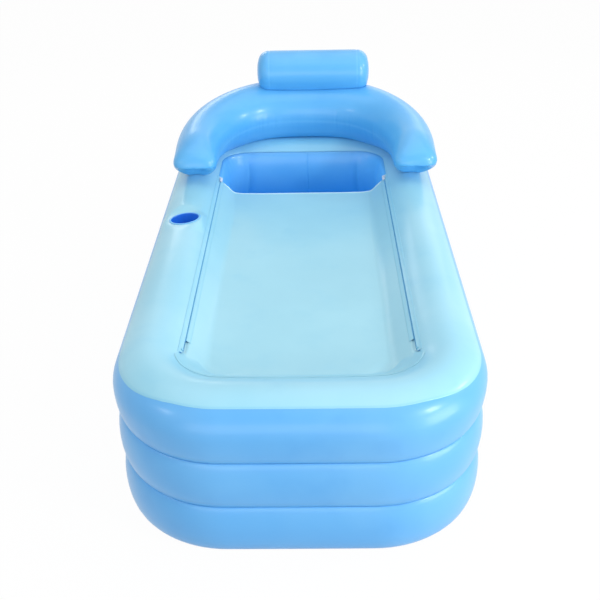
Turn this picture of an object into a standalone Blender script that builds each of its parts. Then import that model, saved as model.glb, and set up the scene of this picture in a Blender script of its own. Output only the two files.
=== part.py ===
"""Inflatable bathtub with a zipped cover, a horseshoe backrest and a head pillow.

Metres, +Z up. X runs across the tub, +Y points to the head end and the ground is z = 0.
The origin is at the middle of the part's footprint. Every air chamber is a skin of film,
open inside, with a hole where its valve goes through.
"""

import math

import bmesh
import bpy
from mathutils import Matrix, Vector

# Plan of the tub
TUB_LENGTH = 1.600
TUB_WIDTH = 0.840
FOOT_RADIUS = 0.258
HEAD_RADIUS = 0.220

# Rim, from the widest outline to the opening
SIDE_RIM = 0.150
FOOT_RIM = 0.156
HEAD_RIM = 0.122
OPENING_FOOT_RADIUS = 0.100
OPENING_HEAD_RADIUS = 0.085

# Film and the gaps between films that touch
FILM = 0.0004
GROUND_FILM = 0.0008
GAP = 0.0003

# Wall of three rings
LOWER_HEIGHT = 0.125
MIDDLE_HEIGHT = 0.121
UPPER_HEIGHT = 0.128
OUTER_BULGE = 0.013
INNER_BULGE = 0.016
INNER_DROP = 0.036
SEAM_INSET = 0.034
OPENING_DROP = 0.014
PANEL_ARCH = 0.020
LAP = 0.010
LIP_TURN = 0.012

# Floor cushion
FLOOR_HEIGHT = 0.046
FLOOR_VALLEY = 0.020
FLOOR_EDGE = 0.012
FLOOR_CLEARANCE = 0.008
FLOOR_CHANNELS = 5
FLOOR_END_SHARES = ((0, 0), (0.03, 0.6), (0.10, 1), (0.90, 1), (0.97, 0.6), (1, 0))

# Backrest tube
BACKREST_EDGE_INSET = 0.080
BACKREST_OVERHANG = 0.012
BACKREST_ARC_LENGTH = 0.362
BACKREST_ARM_LENGTH = 0.065
BACKREST_POWER = 2.35
BACKREST_SWELL_POWER = 1.5
BACKREST_BACK_RADIUS = 0.103
BACKREST_TIP_RADIUS = 0.067
BACKREST_BACK_SQUASH = 0.024
BACKREST_TIP_SQUASH = 0.008
BACKREST_TIP_LENGTH = 0.046
BACKREST_TIP_SHARE = 0.50
BACKREST_UNDERCUT = 0.070
BACKREST_UNDERCUT_REACH = 0.240
BACKREST_UNDERCUT_POWER = 1.4
BACKREST_OFFSET = 0.010

# Head pillow
PILLOW_LENGTH = 0.370
PILLOW_RADIUS = 0.069
PILLOW_OFFSET = 0.038
PILLOW_LIFT = 0.137
PILLOW_FORWARD = 0.015
PILLOW_END_LENGTH = 0.038
PILLOW_END_SHARE = 0.55

# Cup holder
CUP_INSET = 0.086
CUP_FROM_HEAD = 0.692
CUP_RADIUS = 0.039
CUP_WALL = 0.0015
CUP_DEPTH = 0.095
CUP_LIP = 0.005
CUP_LIP_THICKNESS = 0.0012

# Zip down each side
ZIP_LEAD = 0.009
TAPE_WIDTH = 0.014
TAPE_THICKNESS = 0.0006
TEETH_WIDTH = 0.0026
TEETH_HEIGHT = 0.0026
TEETH_SPREAD = 0.0024
COVER_STANDOFF = 0.234
FOLD_STANDOFF = 0.134
FOLD_TAPE_LEAD = 0.022
ZIP_HEAD_RUNOUT = 0.026
ZIP_FOOT_RUNOUT = 0.024
SLIDER_LENGTH = 0.014
SLIDER_HALF_WIDTH = 0.0058
SLIDER_PLATE = 0.0012
SLIDER_WEB = 0.0008
SLIDER_LIP = 0.0012
SLIDER_STANDOFF = 0.004
LUG_THICKNESS = 0.0012
LUG_SPREAD = 0.0042
LUG_HEIGHT = 0.0036
PIN_RADIUS = 0.0007
PULL_EYE_RADIUS = 0.0010
PULL_LENGTH = 0.026
PULL_WIDTH = 0.0085
PULL_THICKNESS = 0.0016
PULL_CORNER = 0.0020
STOP_LENGTH = 0.005

# Cover
COVER_FILM = 0.0006
COVER_BAND = 0.060
COVER_BEND = 0.012
COVER_SAG = 0.008
COVER_SAG_SHARES = (1, 0.75, 0.4, 0)
COVER_SPLIT = 0.0006
HEM_WIDTH = 0.016
HEM_FILM = 0.0006

# Air valve
VALVE_FLANGE_RADIUS = 0.0125
VALVE_FLANGE_THICKNESS = 0.0014
VALVE_NECK_RADIUS = 0.0042
VALVE_BORE_RADIUS = 0.0030
VALVE_NECK_LENGTH = 0.0080
VALVE_CAP_RADIUS = 0.0056
VALVE_CAP_THICKNESS = 0.0018
VALVE_PIN_RADIUS = 0.0026
VALVE_PIN_TIP_RADIUS = 0.0014
VALVE_PIN_LENGTH = 0.0050
VALVE_HINGE = 0.0095
VALVE_STRAP_WIDTH = 0.0040
VALVE_STRAP_THICKNESS = 0.0008
VALVE_BARREL_RADIUS = 0.0009
PLUG_EDGE_SHARE = 0.65
PLUG_TOP_SHARE = 0.83
RING_VALVE_X = 0.150

# Drain through the lower ring
DRAIN_X = 0.0
DRAIN_FLANGE_RADIUS = 0.0190
DRAIN_FLANGE_THICKNESS = 0.0022
DRAIN_PIPE_RADIUS = 0.0130
DRAIN_BORE_RADIUS = 0.0110
DRAIN_CAP_RADIUS = 0.0135
DRAIN_CAP_THICKNESS = 0.0030
DRAIN_PIN_RADIUS = 0.0104
DRAIN_PIN_TIP_RADIUS = 0.0084
DRAIN_PIN_LENGTH = 0.0070
DRAIN_HINGE = 0.0160
DRAIN_STRAP_WIDTH = 0.0080
DRAIN_STRAP_THICKNESS = 0.0012
DRAIN_BARREL_RADIUS = 0.0013

# Facets
CORNER_STEPS = 7
RING_FACETS = 7
PANEL_STEPS = 6
SHOULDER_STEPS = 4
TUBE_SIDES = 14
PATH_STEPS = 17
TIP_STEPS = 4
TIP_POINT_SHARE = 0.04
PILLOW_STEPS = 8
TURNED_SIDES = 20
SMALL_SIDES = 14
FLOOR_FACETS = 5
STRAP_STEPS = 10
FLAP_STEPS = 3
OVERRUN = 0.004

# Points this share of a gap apart are one point, and edges sharper than this stay sharp
MERGE_SHARE = 1 / 30
SHARP_ANGLE = math.radians(40)

# Places that follow from the sizes
OPENING_WIDTH = TUB_WIDTH - 2 * SIDE_RIM
HALF_LENGTH = TUB_LENGTH / 2
BACKREST_HALF_WIDTH = TUB_WIDTH / 2 - BACKREST_EDGE_INSET
BACKREST_BACK_Y = HALF_LENGTH + BACKREST_OVERHANG
BACKREST_ARC_Y = BACKREST_BACK_Y - BACKREST_ARC_LENGTH
BACKREST_TIP_Y = BACKREST_ARC_Y - BACKREST_ARM_LENGTH
CUP_X = CUP_INSET - TUB_WIDTH / 2
CUP_Y = HALF_LENGTH - CUP_FROM_HEAD
ZIP_HEAD_Y = HALF_LENGTH - HEAD_RIM - COVER_STANDOFF
ZIP_FOLD_Y = FOOT_RIM - HALF_LENGTH + FOLD_STANDOFF
TUBE_APOTHEM_SHARE = math.cos(math.pi / TUBE_SIDES)
VALVE_STAND = GAP + VALVE_FLANGE_THICKNESS + GAP + VALVE_CAP_THICKNESS
BACKREST_REACH = BACKREST_BACK_Y + BACKREST_BACK_RADIUS * TUBE_APOTHEM_SHARE + VALVE_STAND
CENTRE_SHIFT = (HALF_LENGTH - BACKREST_REACH) / 2
LOWER_BASE = GROUND_FILM + GAP
MIDDLE_BASE = LOWER_BASE + LOWER_HEIGHT
UPPER_BASE = MIDDLE_BASE + MIDDLE_HEIGHT
SEAM_Z = UPPER_BASE + UPPER_HEIGHT

# Colours, as linear RGB, and the finish of each material
FINISHES = {
    "ring_blue": ((0.12, 0.42, 0.86), 0.30),
    "panel_aqua": ((0.42, 0.76, 0.90), 0.32),
    "cushion_blue": ((0.16, 0.45, 0.86), 0.35),
    "cup_blue": ((0.02, 0.12, 0.52), 0.40),
    "tape_blue": ((0.10, 0.36, 0.70), 0.60),
    "valve_clear": ((0.62, 0.80, 0.90), 0.25),
    "slider_white": ((0.80, 0.84, 0.88), 0.30),
}


def clear_scene():
    for obj in list(bpy.data.objects):
        bpy.data.objects.remove(obj, do_unlink=True)


def finish(name, slot):
    """A material of its own for one piece, in the colour of its kind."""
    colour, roughness = FINISHES[slot]
    material = bpy.data.materials.new(name)
    material.use_nodes = True
    shader = material.node_tree.nodes["Principled BSDF"]
    shader.inputs["Base Color"].default_value = (*colour, 1)
    shader.inputs["Roughness"].default_value = roughness
    shader.inputs["Metallic"].default_value = 0
    return material


def add_empty(name, parent=None, place=None):
    empty = bpy.data.objects.new(name, None)
    bpy.context.collection.objects.link(empty)
    empty.parent = parent
    if place is not None:
        empty.matrix_local = place
    return empty


def add_mesh(name, mesh, parent, slot=None, place=None):
    """One piece of the object. A piece with no slot is a cutter and isn't part of it."""
    obj = bpy.data.objects.new(name, mesh)
    bpy.context.collection.objects.link(obj)
    obj.parent = parent
    if place is not None:
        obj.matrix_local = place
    if slot is None:
        obj.hide_render = True
        obj.display_type = "WIRE"
    elif not mesh.materials:
        mesh.materials.append(finish(name, slot))
    return obj


def mesh_of(name, vertices, faces, closed=True):
    """A mesh from points and faces, with its doubles merged and its faces facing out."""
    mesh = bpy.data.meshes.new(name)
    mesh.from_pydata([tuple(v) for v in vertices], [], faces)
    shape = bmesh.new()
    shape.from_mesh(mesh)
    bmesh.ops.remove_doubles(shape, verts=shape.verts, dist=GAP * MERGE_SHARE)
    if closed:
        bmesh.ops.recalc_face_normals(shape, faces=shape.faces)
    shape.to_mesh(mesh)
    shape.free()
    mesh.shade_smooth()
    mesh.set_sharp_from_angle(angle=SHARP_ANGLE)
    return mesh


def loft(loops, wrap_loop=True, wrap_rows=False, cap=False):
    """Points and faces of a surface through rows of points that match one to one."""
    count = len(loops[0])
    points = [point for loop in loops for point in loop]
    faces = []
    for row in range(len(loops) if wrap_rows else len(loops) - 1):
        after = (row + 1) % len(loops)
        for k in range(count if wrap_loop else count - 1):
            n = (k + 1) % count
            faces.append((row * count + k, row * count + n, after * count + n, after * count + k))
    if cap:
        last = (len(loops) - 1) * count
        faces.append(tuple(range(count)))
        faces.append(tuple(last + k for k in range(count)))
    return points, faces


def add_skin(obj, thickness):
    """Turns a surface into film: its outer side stays, and the film grows inwards."""
    skin = obj.modifiers.new("film", "SOLIDIFY")
    skin.thickness = thickness
    skin.offset = -1
    skin.use_even_offset = True
    return obj


def combine(obj, other, operation):
    step = obj.modifiers.new(operation.lower(), "BOOLEAN")
    step.operation = operation
    step.object = other
    step.solver = "EXACT"
    return obj


def baked_mesh(obj):
    """The mesh of a piece with its modifiers done, for pieces that are copied."""
    bpy.context.view_layer.update()
    graph = bpy.context.evaluated_depsgraph_get()
    return bpy.data.meshes.new_from_object(obj.evaluated_get(graph))


def turned(name, profile, sides):
    """A closed shape from a profile of (radius, height) turned about the local Z axis."""
    loops = []
    for step in range(sides):
        angle = 2 * math.pi * step / sides
        loops.append([(r * math.cos(angle), r * math.sin(angle), z) for r, z in profile])
    return mesh_of(name, *loft(loops, wrap_loop=True, wrap_rows=True))


def block_mesh(name, low, high):
    """A box between two corners."""
    x0, y0, z0 = low
    x1, y1, z1 = high
    rows = [[(x0, y0, z), (x1, y0, z), (x1, y1, z), (x0, y1, z)] for z in (z0, z1)]
    return mesh_of(name, *loft(rows, cap=True))


def prism_mesh(name, outline, low, high, axis):
    """An outline pushed along an axis: "x" takes (y, z) points and "y" takes (x, z) points."""
    if axis == "x":
        rows = [[(end, a, b) for a, b in outline] for end in (low, high)]
    else:
        rows = [[(a, end, b) for a, b in outline] for end in (low, high)]
    return mesh_of(name, *loft(rows, cap=True))


def rod_mesh(name, radius, low, high, sides):
    """A round rod along the local Z axis."""
    rows = []
    for z in (low, high):
        angles = [2 * math.pi * k / sides for k in range(sides)]
        rows.append([(radius * math.cos(a), radius * math.sin(a), z) for a in angles])
    return mesh_of(name, *loft(rows, cap=True))


def rounded_outline(half_width, y_foot, y_head, foot_radius, head_radius):
    """A rounded rectangle, anticlockwise from the right end of the foot."""
    corners = (
        (half_width - foot_radius, y_foot + foot_radius, foot_radius, -90),
        (half_width - head_radius, y_head - head_radius, head_radius, 0),
        (head_radius - half_width, y_head - head_radius, head_radius, 90),
        (foot_radius - half_width, y_foot + foot_radius, foot_radius, 180),
    )
    points = []
    for x, y, radius, start in corners:
        for step in range(CORNER_STEPS + 1):
            angle = math.radians(start + 90 * step / CORNER_STEPS)
            points.append((x + radius * math.cos(angle), y + radius * math.sin(angle)))
    return points


TUB_OUTLINE = rounded_outline(TUB_WIDTH / 2, -HALF_LENGTH, HALF_LENGTH, FOOT_RADIUS, HEAD_RADIUS)
OPENING_OUTLINE = rounded_outline(
    OPENING_WIDTH / 2,
    FOOT_RIM - HALF_LENGTH,
    HALF_LENGTH - HEAD_RIM,
    OPENING_FOOT_RADIUS,
    OPENING_HEAD_RADIUS,
)


def plan_loop(inset, z):
    """The tub's plan at one distance in from its widest outline, where the side rim sets the scale."""
    share = inset / SIDE_RIM
    pairs = zip(TUB_OUTLINE, OPENING_OUTLINE)
    return [(a + (c - a) * share, b + (d - b) * share, z) for (a, b), (c, d) in pairs]


def head_wall_y(inset):
    """Where the straight head wall lies at one distance in from the widest outline."""
    return HALF_LENGTH - HEAD_RIM * inset / SIDE_RIM


def facet_angles():
    return [math.radians(-90 + 180 * k / RING_FACETS) for k in range(RING_FACETS + 1)]


def ring_side(base, height, edge_inset, bulge, side):
    """One swollen side of a ring, from its lower crease up. side is 1 outside and -1 inside."""
    half = (height - GAP) / 2
    middle = base + half
    points = []
    for angle in facet_angles():
        inset = edge_inset + side * bulge * (1 - math.cos(angle))
        points.append((inset, middle + half * math.sin(angle)))
    return points


def panel_z(inset):
    """Height of the rim's top panel, an arch from the outer seam to the opening."""
    share = (inset - SEAM_INSET) / (SIDE_RIM - SEAM_INSET)
    return SEAM_Z - OPENING_DROP * share + 4 * PANEL_ARCH * share * (1 - share)


def panel_section():
    """The top panel from the outer seam to the opening, with a row where each lap ends."""
    first = SEAM_INSET + LAP
    last = SIDE_RIM - LAP
    insets = [SEAM_INSET]
    insets += [first + (last - first) * k / PANEL_STEPS for k in range(PANEL_STEPS + 1)]
    insets += [SIDE_RIM]
    return [(inset, panel_z(inset)) for inset in insets]


def offset_section(section, distance):
    """A section moved square to itself, up for a positive distance."""
    moved = []
    for k, (x, z) in enumerate(section):
        before = section[max(k - 1, 0)]
        after = section[min(k + 1, len(section) - 1)]
        run = Vector((after[0] - before[0], after[1] - before[1])).normalized()
        moved.append((x - run.y * distance, z + run.x * distance))
    return moved


def crest_z():
    return max(z for _, z in panel_section())


BACKREST_SEAT_Z = crest_z() + GAP
BACKREST_BACK_Z = BACKREST_SEAT_Z + BACKREST_BACK_RADIUS - BACKREST_BACK_SQUASH


def swept_ring(name, section, closed):
    rows = [plan_loop(inset, z) for inset, z in section]
    return mesh_of(name, *loft(rows, wrap_rows=closed), closed=closed)


# Valves


def strap_outline(reach, barrel_radius, thickness):
    """Side view of a strap: a round barrel at the origin that runs into a flat tongue."""
    points = []
    start = math.asin(thickness / barrel_radius - 1)
    for k in range(STRAP_STEPS + 1):
        angle = start + (3 * math.pi / 2 - start) * k / STRAP_STEPS
        points.append((barrel_radius * math.cos(angle), barrel_radius * math.sin(angle)))
    points.append((reach, -barrel_radius))
    points.append((reach, thickness - barrel_radius))
    return points


def plug_mesh(name, hinge, cap, pin, strap, sides):
    """A stopper with its strap. The origin is on the strap's hinge, and the bore is at x = hinge."""
    cap_radius, cap_thickness = cap
    pin_radius, tip_radius, pin_length = pin
    strap_width, strap_thickness, barrel_radius = strap
    under = -barrel_radius
    profile = [
        (0, under - pin_length),
        (tip_radius, under - pin_length),
        (pin_radius, under),
        (cap_radius, under),
        (cap_radius, under + cap_thickness * PLUG_EDGE_SHARE),
        (cap_radius * PLUG_TOP_SHARE, under + cap_thickness),
        (0, under + cap_thickness),
    ]
    stopper = turned(name, profile, sides)
    stopper.transform(Matrix.Translation((hinge, 0, 0)))
    outline = strap_outline(hinge - cap_radius / 2, barrel_radius, strap_thickness)
    tongue = prism_mesh(name + "_strap", outline, -strap_width / 2, strap_width / 2, "y")
    whole = add_mesh(name + "_whole", stopper, None)
    other = add_mesh(name + "_tongue", tongue, None)
    combine(whole, other, "UNION")
    mesh = baked_mesh(whole)
    bpy.data.objects.remove(whole, do_unlink=True)
    bpy.data.objects.remove(other, do_unlink=True)
    mesh.name = name
    return mesh


def wall_frame(point, outward, towards_cap):
    """A frame with Z out of the film and X from the strap's hinge to the bore."""
    z = Vector(outward).normalized()
    x = Vector(towards_cap).normalized()
    frame = Matrix((x, z.cross(x), z)).transposed().to_4x4()
    frame.translation = Vector(point)
    return frame


def valve_base_mesh():
    profile = [
        (VALVE_BORE_RADIUS, -VALVE_NECK_LENGTH),
        (VALVE_NECK_RADIUS, -VALVE_NECK_LENGTH),
        (VALVE_NECK_RADIUS, GAP),
        (VALVE_FLANGE_RADIUS, GAP),
        (VALVE_FLANGE_RADIUS, GAP + VALVE_FLANGE_THICKNESS / 2),
        (VALVE_FLANGE_RADIUS - VALVE_FLANGE_THICKNESS, GAP + VALVE_FLANGE_THICKNESS),
        (VALVE_BORE_RADIUS, GAP + VALVE_FLANGE_THICKNESS),
    ]
    return turned("valve_base", profile, TURNED_SIDES)


def valve_plug_mesh():
    cap = (VALVE_CAP_RADIUS, VALVE_CAP_THICKNESS)
    pin = (VALVE_PIN_RADIUS, VALVE_PIN_TIP_RADIUS, VALVE_PIN_LENGTH)
    strap = (VALVE_STRAP_WIDTH, VALVE_STRAP_THICKNESS, VALVE_BARREL_RADIUS)
    return plug_mesh("valve_plug", VALVE_HINGE, cap, pin, strap, SMALL_SIDES)


def add_valve(chamber, obj, frame, base_mesh, plug, tub):
    """Cuts a valve's hole in a chamber and puts the valve and its plug there."""
    hole_radius = VALVE_NECK_RADIUS + GAP
    hole = rod_mesh(chamber + "_valve_hole", hole_radius, -OVERRUN, OVERRUN, TURNED_SIDES)
    combine(obj, add_mesh(chamber + "_valve_hole", hole, tub, place=frame), "DIFFERENCE")
    base = base_mesh.copy()
    add_mesh(chamber + "_valve", base, tub, "valve_clear", frame)
    hinge_z = GAP + VALVE_FLANGE_THICKNESS + GAP + VALVE_BARREL_RADIUS
    pivot = frame @ Matrix.Translation((-VALVE_HINGE, 0, hinge_z))
    add_mesh(chamber + "_valve_plug", plug.copy(), tub, "valve_clear", pivot)


# Wall


def make_ground_sheet(tub):
    rows = [plan_loop(OUTER_BULGE, z) for z in (0, GROUND_FILM)]
    add_mesh("ground_sheet", mesh_of("ground_sheet", *loft(rows, cap=True)), tub, "ring_blue")


def make_closed_ring(name, base, height, drop, tub):
    """A ring that is one closed tube of film. Its top falls inwards by a drop."""
    section = ring_side(base, height, 0, OUTER_BULGE, 1)
    section += reversed(ring_side(base, height - drop, SIDE_RIM + INNER_BULGE, INNER_BULGE, -1))
    ring = add_mesh(name, swept_ring(name, section, True), tub, "ring_blue")
    return add_skin(ring, FILM)


def shoulder_section():
    """Outer side of the upper ring: a swollen foot, an upright stretch and a rounded shoulder."""
    side = ring_side(UPPER_BASE, UPPER_HEIGHT, 0, OUTER_BULGE, 1)
    lower = side[: RING_FACETS // 2 + 2]
    start_inset, start_z = lower[-1]
    points = list(lower)
    for k in range(1, SHOULDER_STEPS + 1):
        angle = math.pi / 2 * k / SHOULDER_STEPS
        inset = start_inset + (SEAM_INSET - start_inset) * (1 - math.cos(angle))
        points.append((inset, start_z + (SEAM_Z - start_z) * math.sin(angle)))
    return points


def lip_section():
    """Inner side of the upper ring, from its crease, which lies lower than outside, to the opening."""
    base = UPPER_BASE - INNER_DROP
    height = panel_z(SIDE_RIM) - LIP_TURN - base
    return ring_side(base, height, SIDE_RIM + INNER_BULGE, INNER_BULGE, -1)


def make_upper_ring(tub):
    """The upper ring is a channel of film. Its edges turn in under the top panel, which closes it."""
    under = offset_section(panel_section(), -(FILM + GAP))
    drop = FILM + GAP
    inner = lip_section() + [under[-1]]
    outer = shoulder_section()
    outer[-1] = (SEAM_INSET, SEAM_Z - drop)
    section = [under[-2]] + list(reversed(inner)) + outer + [under[1]]
    ring = add_mesh("upper_ring", swept_ring("upper_ring", section, False), tub, "ring_blue")
    return add_skin(ring, FILM)


def make_top_panel(tub):
    mesh = swept_ring("top_panel", panel_section(), False)
    return add_skin(add_mesh("top_panel", mesh, tub, "panel_aqua"), FILM)


def make_floor(tub):
    """The floor cushion: five tubes side by side, lower at the cushion's ends."""
    inset = SIDE_RIM + INNER_BULGE + FLOOR_CLEARANCE
    edge = plan_loop(inset, 0)
    half_width = max(x for x, _, _ in edge)
    count = FLOOR_CHANNELS * FLOOR_FACETS
    columns = [k / count for k in range(count + 1)]
    top, bottom = [], []
    for column in columns:
        x = half_width * (2 * column - 1)
        low, high = span_at(edge, x)
        swell = channel_swell(column)
        for share, taper in FLOOR_END_SHARES:
            y = low + (high - low) * share
            top.append((x, y, LOWER_BASE + FLOOR_EDGE + (swell - FLOOR_EDGE) * taper))
            bottom.append((x, y, LOWER_BASE))
    points, faces = floor_faces(top, bottom, len(columns), len(FLOOR_END_SHARES))
    floor = add_mesh("floor_cushion", mesh_of("floor_cushion", points, faces), tub, "cushion_blue")
    return add_skin(floor, FILM)


def channel_swell(column):
    """Height of the cushion across its tubes, where each tube has a level facet on its crown."""
    place = column * FLOOR_CHANNELS
    part = round((place - math.floor(place)) * FLOOR_FACETS)
    angle = math.pi * (part / FLOOR_FACETS - 1 / 2)
    crown = FLOOR_VALLEY + (FLOOR_HEIGHT - FLOOR_VALLEY) * math.cos(angle)
    return crown if 0 < column < 1 else FLOOR_EDGE


def span_at(edge, x):
    """The lowest and highest y of an outline at one x."""
    hits = []
    for k, (x0, y0, _) in enumerate(edge):
        x1, y1, _ = edge[(k + 1) % len(edge)]
        if min(x0, x1) <= x <= max(x0, x1) and x0 != x1:
            hits.append(y0 + (y1 - y0) * (x - x0) / (x1 - x0))
    return min(hits), max(hits)


def floor_faces(top, bottom, columns, rows):
    points = top + bottom
    under = len(top)
    faces = []
    for i in range(columns - 1):
        for j in range(rows - 1):
            a, b = i * rows + j, (i + 1) * rows + j
            faces.append((a, b, b + 1, a + 1))
            faces.append((under + a, under + a + 1, under + b + 1, under + b))
    border = [i * rows for i in range(columns)]
    border += [(columns - 1) * rows + j for j in range(1, rows)]
    border += [i * rows + rows - 1 for i in reversed(range(columns - 1))]
    border += [j for j in reversed(range(1, rows - 1))]
    for k, a in enumerate(border):
        b = border[(k + 1) % len(border)]
        faces.append((a, under + a, under + b, b))
    return points, faces


# Backrest and pillow


def backrest_path():
    """Centre line from the left tip round the head to the right tip, with the radius at each point."""
    reach = BACKREST_BACK_Y - BACKREST_ARC_Y
    places = [(-BACKREST_HALF_WIDTH, BACKREST_TIP_Y)]
    for k in range(PATH_STEPS + 1):
        angle = math.pi * (1 - k / PATH_STEPS)
        across, along = math.cos(angle), math.sin(angle)
        power = 2 / BACKREST_POWER
        x = BACKREST_HALF_WIDTH * math.copysign(abs(across) ** power, across)
        places.append((x, BACKREST_ARC_Y + reach * abs(along) ** power))
    places.append((BACKREST_HALF_WIDTH, BACKREST_TIP_Y))
    length = BACKREST_BACK_Y - BACKREST_TIP_Y
    path = []
    for x, y in places:
        share = (y - BACKREST_TIP_Y) / length
        swell = share ** BACKREST_SWELL_POWER
        radius = BACKREST_TIP_RADIUS + (BACKREST_BACK_RADIUS - BACKREST_TIP_RADIUS) * swell
        squash = BACKREST_TIP_SQUASH + (BACKREST_BACK_SQUASH - BACKREST_TIP_SQUASH) * share
        path.append((Vector((x + BACKREST_OFFSET, y, BACKREST_SEAT_Z + radius - squash)), radius))
    return path


def undercuts(centres):
    """How far the underside is drawn in along the centre line at each ring, most at the two tips."""
    far = [0]
    for before, after in zip(centres, centres[1:]):
        far.append(far[-1] + (after - before).length)
    pulls = []
    for place in far:
        inside = min(place, far[-1] - place)
        weight = max(1 - inside / BACKREST_UNDERCUT_REACH, 0) ** 2
        pulls.append(math.copysign(BACKREST_UNDERCUT * weight, far[-1] / 2 - place))
    return pulls


def tube_ring(centre, along, radius, pull, seat):
    """A ring of points round a level centre line, pressed flat at the seat's height."""
    sides = TUBE_SIDES
    inward = along.normalized() * pull
    across = Vector((along.y, -along.x, 0)).normalized()
    points = []
    for k in range(sides):
        angle = 2 * math.pi * (k + 0.5) / sides
        point = centre + across * (radius * math.cos(angle))
        point.z = max(point.z + radius * math.sin(angle), seat)
        drop = max(centre.z - point.z, 0) / radius
        points.append(point + inward * (drop * radius / BACKREST_TIP_RADIUS) ** BACKREST_UNDERCUT_POWER)
    return points


def tip_rings(centre, along, radius):
    """The rounded end of the tube: rings that close in to a blunt cap."""
    rings = []
    for k in range(1, TIP_STEPS + 1):
        angle = math.pi / 2 * k / TIP_STEPS
        forward = along * (BACKREST_TIP_LENGTH * math.sin(angle))
        size = radius * (BACKREST_TIP_SHARE + (1 - BACKREST_TIP_SHARE) * math.cos(angle))
        rings.append((centre + forward, size))
    rings.append((centre + along * BACKREST_TIP_LENGTH, radius * TIP_POINT_SHARE))
    return rings


def backrest_loops(growth, seat):
    """Rings of points along the whole tube, its radius made larger by a growth."""
    path = [(centre, radius + growth) for centre, radius in backrest_path()]
    rings = []
    for k, (centre, radius) in enumerate(path):
        before = path[max(k - 1, 0)][0]
        after = path[min(k + 1, len(path) - 1)][0]
        rings.append((centre, after - before, radius))
    start, end = rings[0], rings[-1]
    head = tip_rings(start[0], -start[1].normalized(), start[2])
    head = [(centre, start[1], radius) for centre, radius in reversed(head)]
    tail = tip_rings(end[0], end[1].normalized(), end[2])
    tail = [(centre, end[1], radius) for centre, radius in tail]
    rings = head + rings + tail
    pulls = undercuts([centre for centre, _, _ in rings])
    return [tube_ring(*ring, pull, seat) for ring, pull in zip(rings, pulls)]


def make_backrest(tub):
    """The horseshoe tube, pressed flat where it lies on the rim."""
    mesh = mesh_of("backrest_tube", *loft(backrest_loops(0, BACKREST_SEAT_Z), cap=True))
    return add_skin(add_mesh("backrest_tube", mesh, tub, "ring_blue"), FILM)


def pillow_centre():
    return Vector((PILLOW_OFFSET, BACKREST_BACK_Y - PILLOW_FORWARD, BACKREST_BACK_Z + PILLOW_LIFT))


def pillow_rows():
    """Places along the pillow as (distance from its middle, radius), with rounded ends."""
    straight = PILLOW_LENGTH / 2 - PILLOW_END_LENGTH
    rows = [(-straight + 2 * straight * k / PILLOW_STEPS, PILLOW_RADIUS) for k in range(PILLOW_STEPS + 1)]
    ends = []
    for k in range(1, TIP_STEPS):
        angle = math.pi / 2 * k / (TIP_STEPS - 1)
        size = PILLOW_END_SHARE + (1 - PILLOW_END_SHARE) * math.cos(angle)
        ends.append((straight + PILLOW_END_LENGTH * math.sin(angle), PILLOW_RADIUS * size))
    return [(-x, r) for x, r in reversed(ends)] + rows + ends


def make_pillow(tub):
    """The pillow, hollowed on its underside so that it sits round the backrest tube."""
    centre = pillow_centre()
    loops = []
    for x, radius in pillow_rows():
        ring = []
        for k in range(TUBE_SIDES):
            angle = 2 * math.pi * (k + 0.5) / TUBE_SIDES
            ring.append(centre + Vector((x, radius * math.cos(angle), radius * math.sin(angle))))
        loops.append(ring)
    mesh = mesh_of("head_pillow", *loft(loops, cap=True))
    pillow = add_mesh("head_pillow", mesh, tub, "ring_blue")
    seat = mesh_of("pillow_seat", *loft(backrest_loops(2 * GAP, 0), cap=True))
    combine(pillow, add_mesh("pillow_seat", seat, tub), "DIFFERENCE")
    return add_skin(pillow, FILM)


# Cup holder


def slab_over_panel(name, low, high):
    """A closed band that follows the top panel between two distances above it."""
    section = offset_section(panel_section(), low)
    section += reversed(offset_section(panel_section(), high))
    return swept_ring(name, section, True)


def make_cup_holder(panel, tub):
    """A pocket that hangs in the upper ring from a lip that follows the panel."""
    place = Matrix.Translation((CUP_X, CUP_Y, 0))
    level = panel_z(TUB_WIDTH / 2 + CUP_X)
    outer = CUP_RADIUS + CUP_WALL
    hole = rod_mesh("cup_hole", outer + GAP, level - CUP_DEPTH, level + CUP_DEPTH, 2 * TURNED_SIDES)
    combine(panel, add_mesh("cup_hole", hole, tub, place=place), "DIFFERENCE")
    lip_mesh = rod_mesh("cup_holder", outer + CUP_LIP, level - CUP_DEPTH, level + CUP_DEPTH, 2 * TURNED_SIDES)
    holder = add_mesh("cup_holder", lip_mesh, tub, "cup_blue", place)
    slab = slab_over_panel("cup_slab", GAP, GAP + CUP_LIP_THICKNESS)
    combine(holder, add_mesh("cup_slab", slab, tub), "INTERSECT")
    body = rod_mesh("cup_body", outer, level - CUP_DEPTH, level + GAP, 2 * TURNED_SIDES)
    combine(holder, add_mesh("cup_body", body, tub, place=place), "UNION")
    floor = level - CUP_DEPTH + CUP_WALL
    bore = rod_mesh("cup_bore", CUP_RADIUS, floor, level + CUP_DEPTH, 2 * TURNED_SIDES)
    combine(holder, add_mesh("cup_bore", bore, tub, place=place), "DIFFERENCE")


# Cover and zips


def zip_line():
    """Centre of the zip on the right-hand side and the tilt of the rim there."""
    outer, inner = panel_section()[-2:]
    run = Vector((inner[0] - outer[0], inner[1] - outer[1])).normalized()
    rise = TAPE_THICKNESS / 2 + GAP
    inset = SIDE_RIM + run.x * ZIP_LEAD - run.y * rise
    z = panel_z(SIDE_RIM) + run.y * ZIP_LEAD + run.x * rise
    return TUB_WIDTH / 2 - inset, z, math.atan2(-run.y, run.x)


ZIP_X, ZIP_Z, ZIP_TILT = zip_line()


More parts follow.
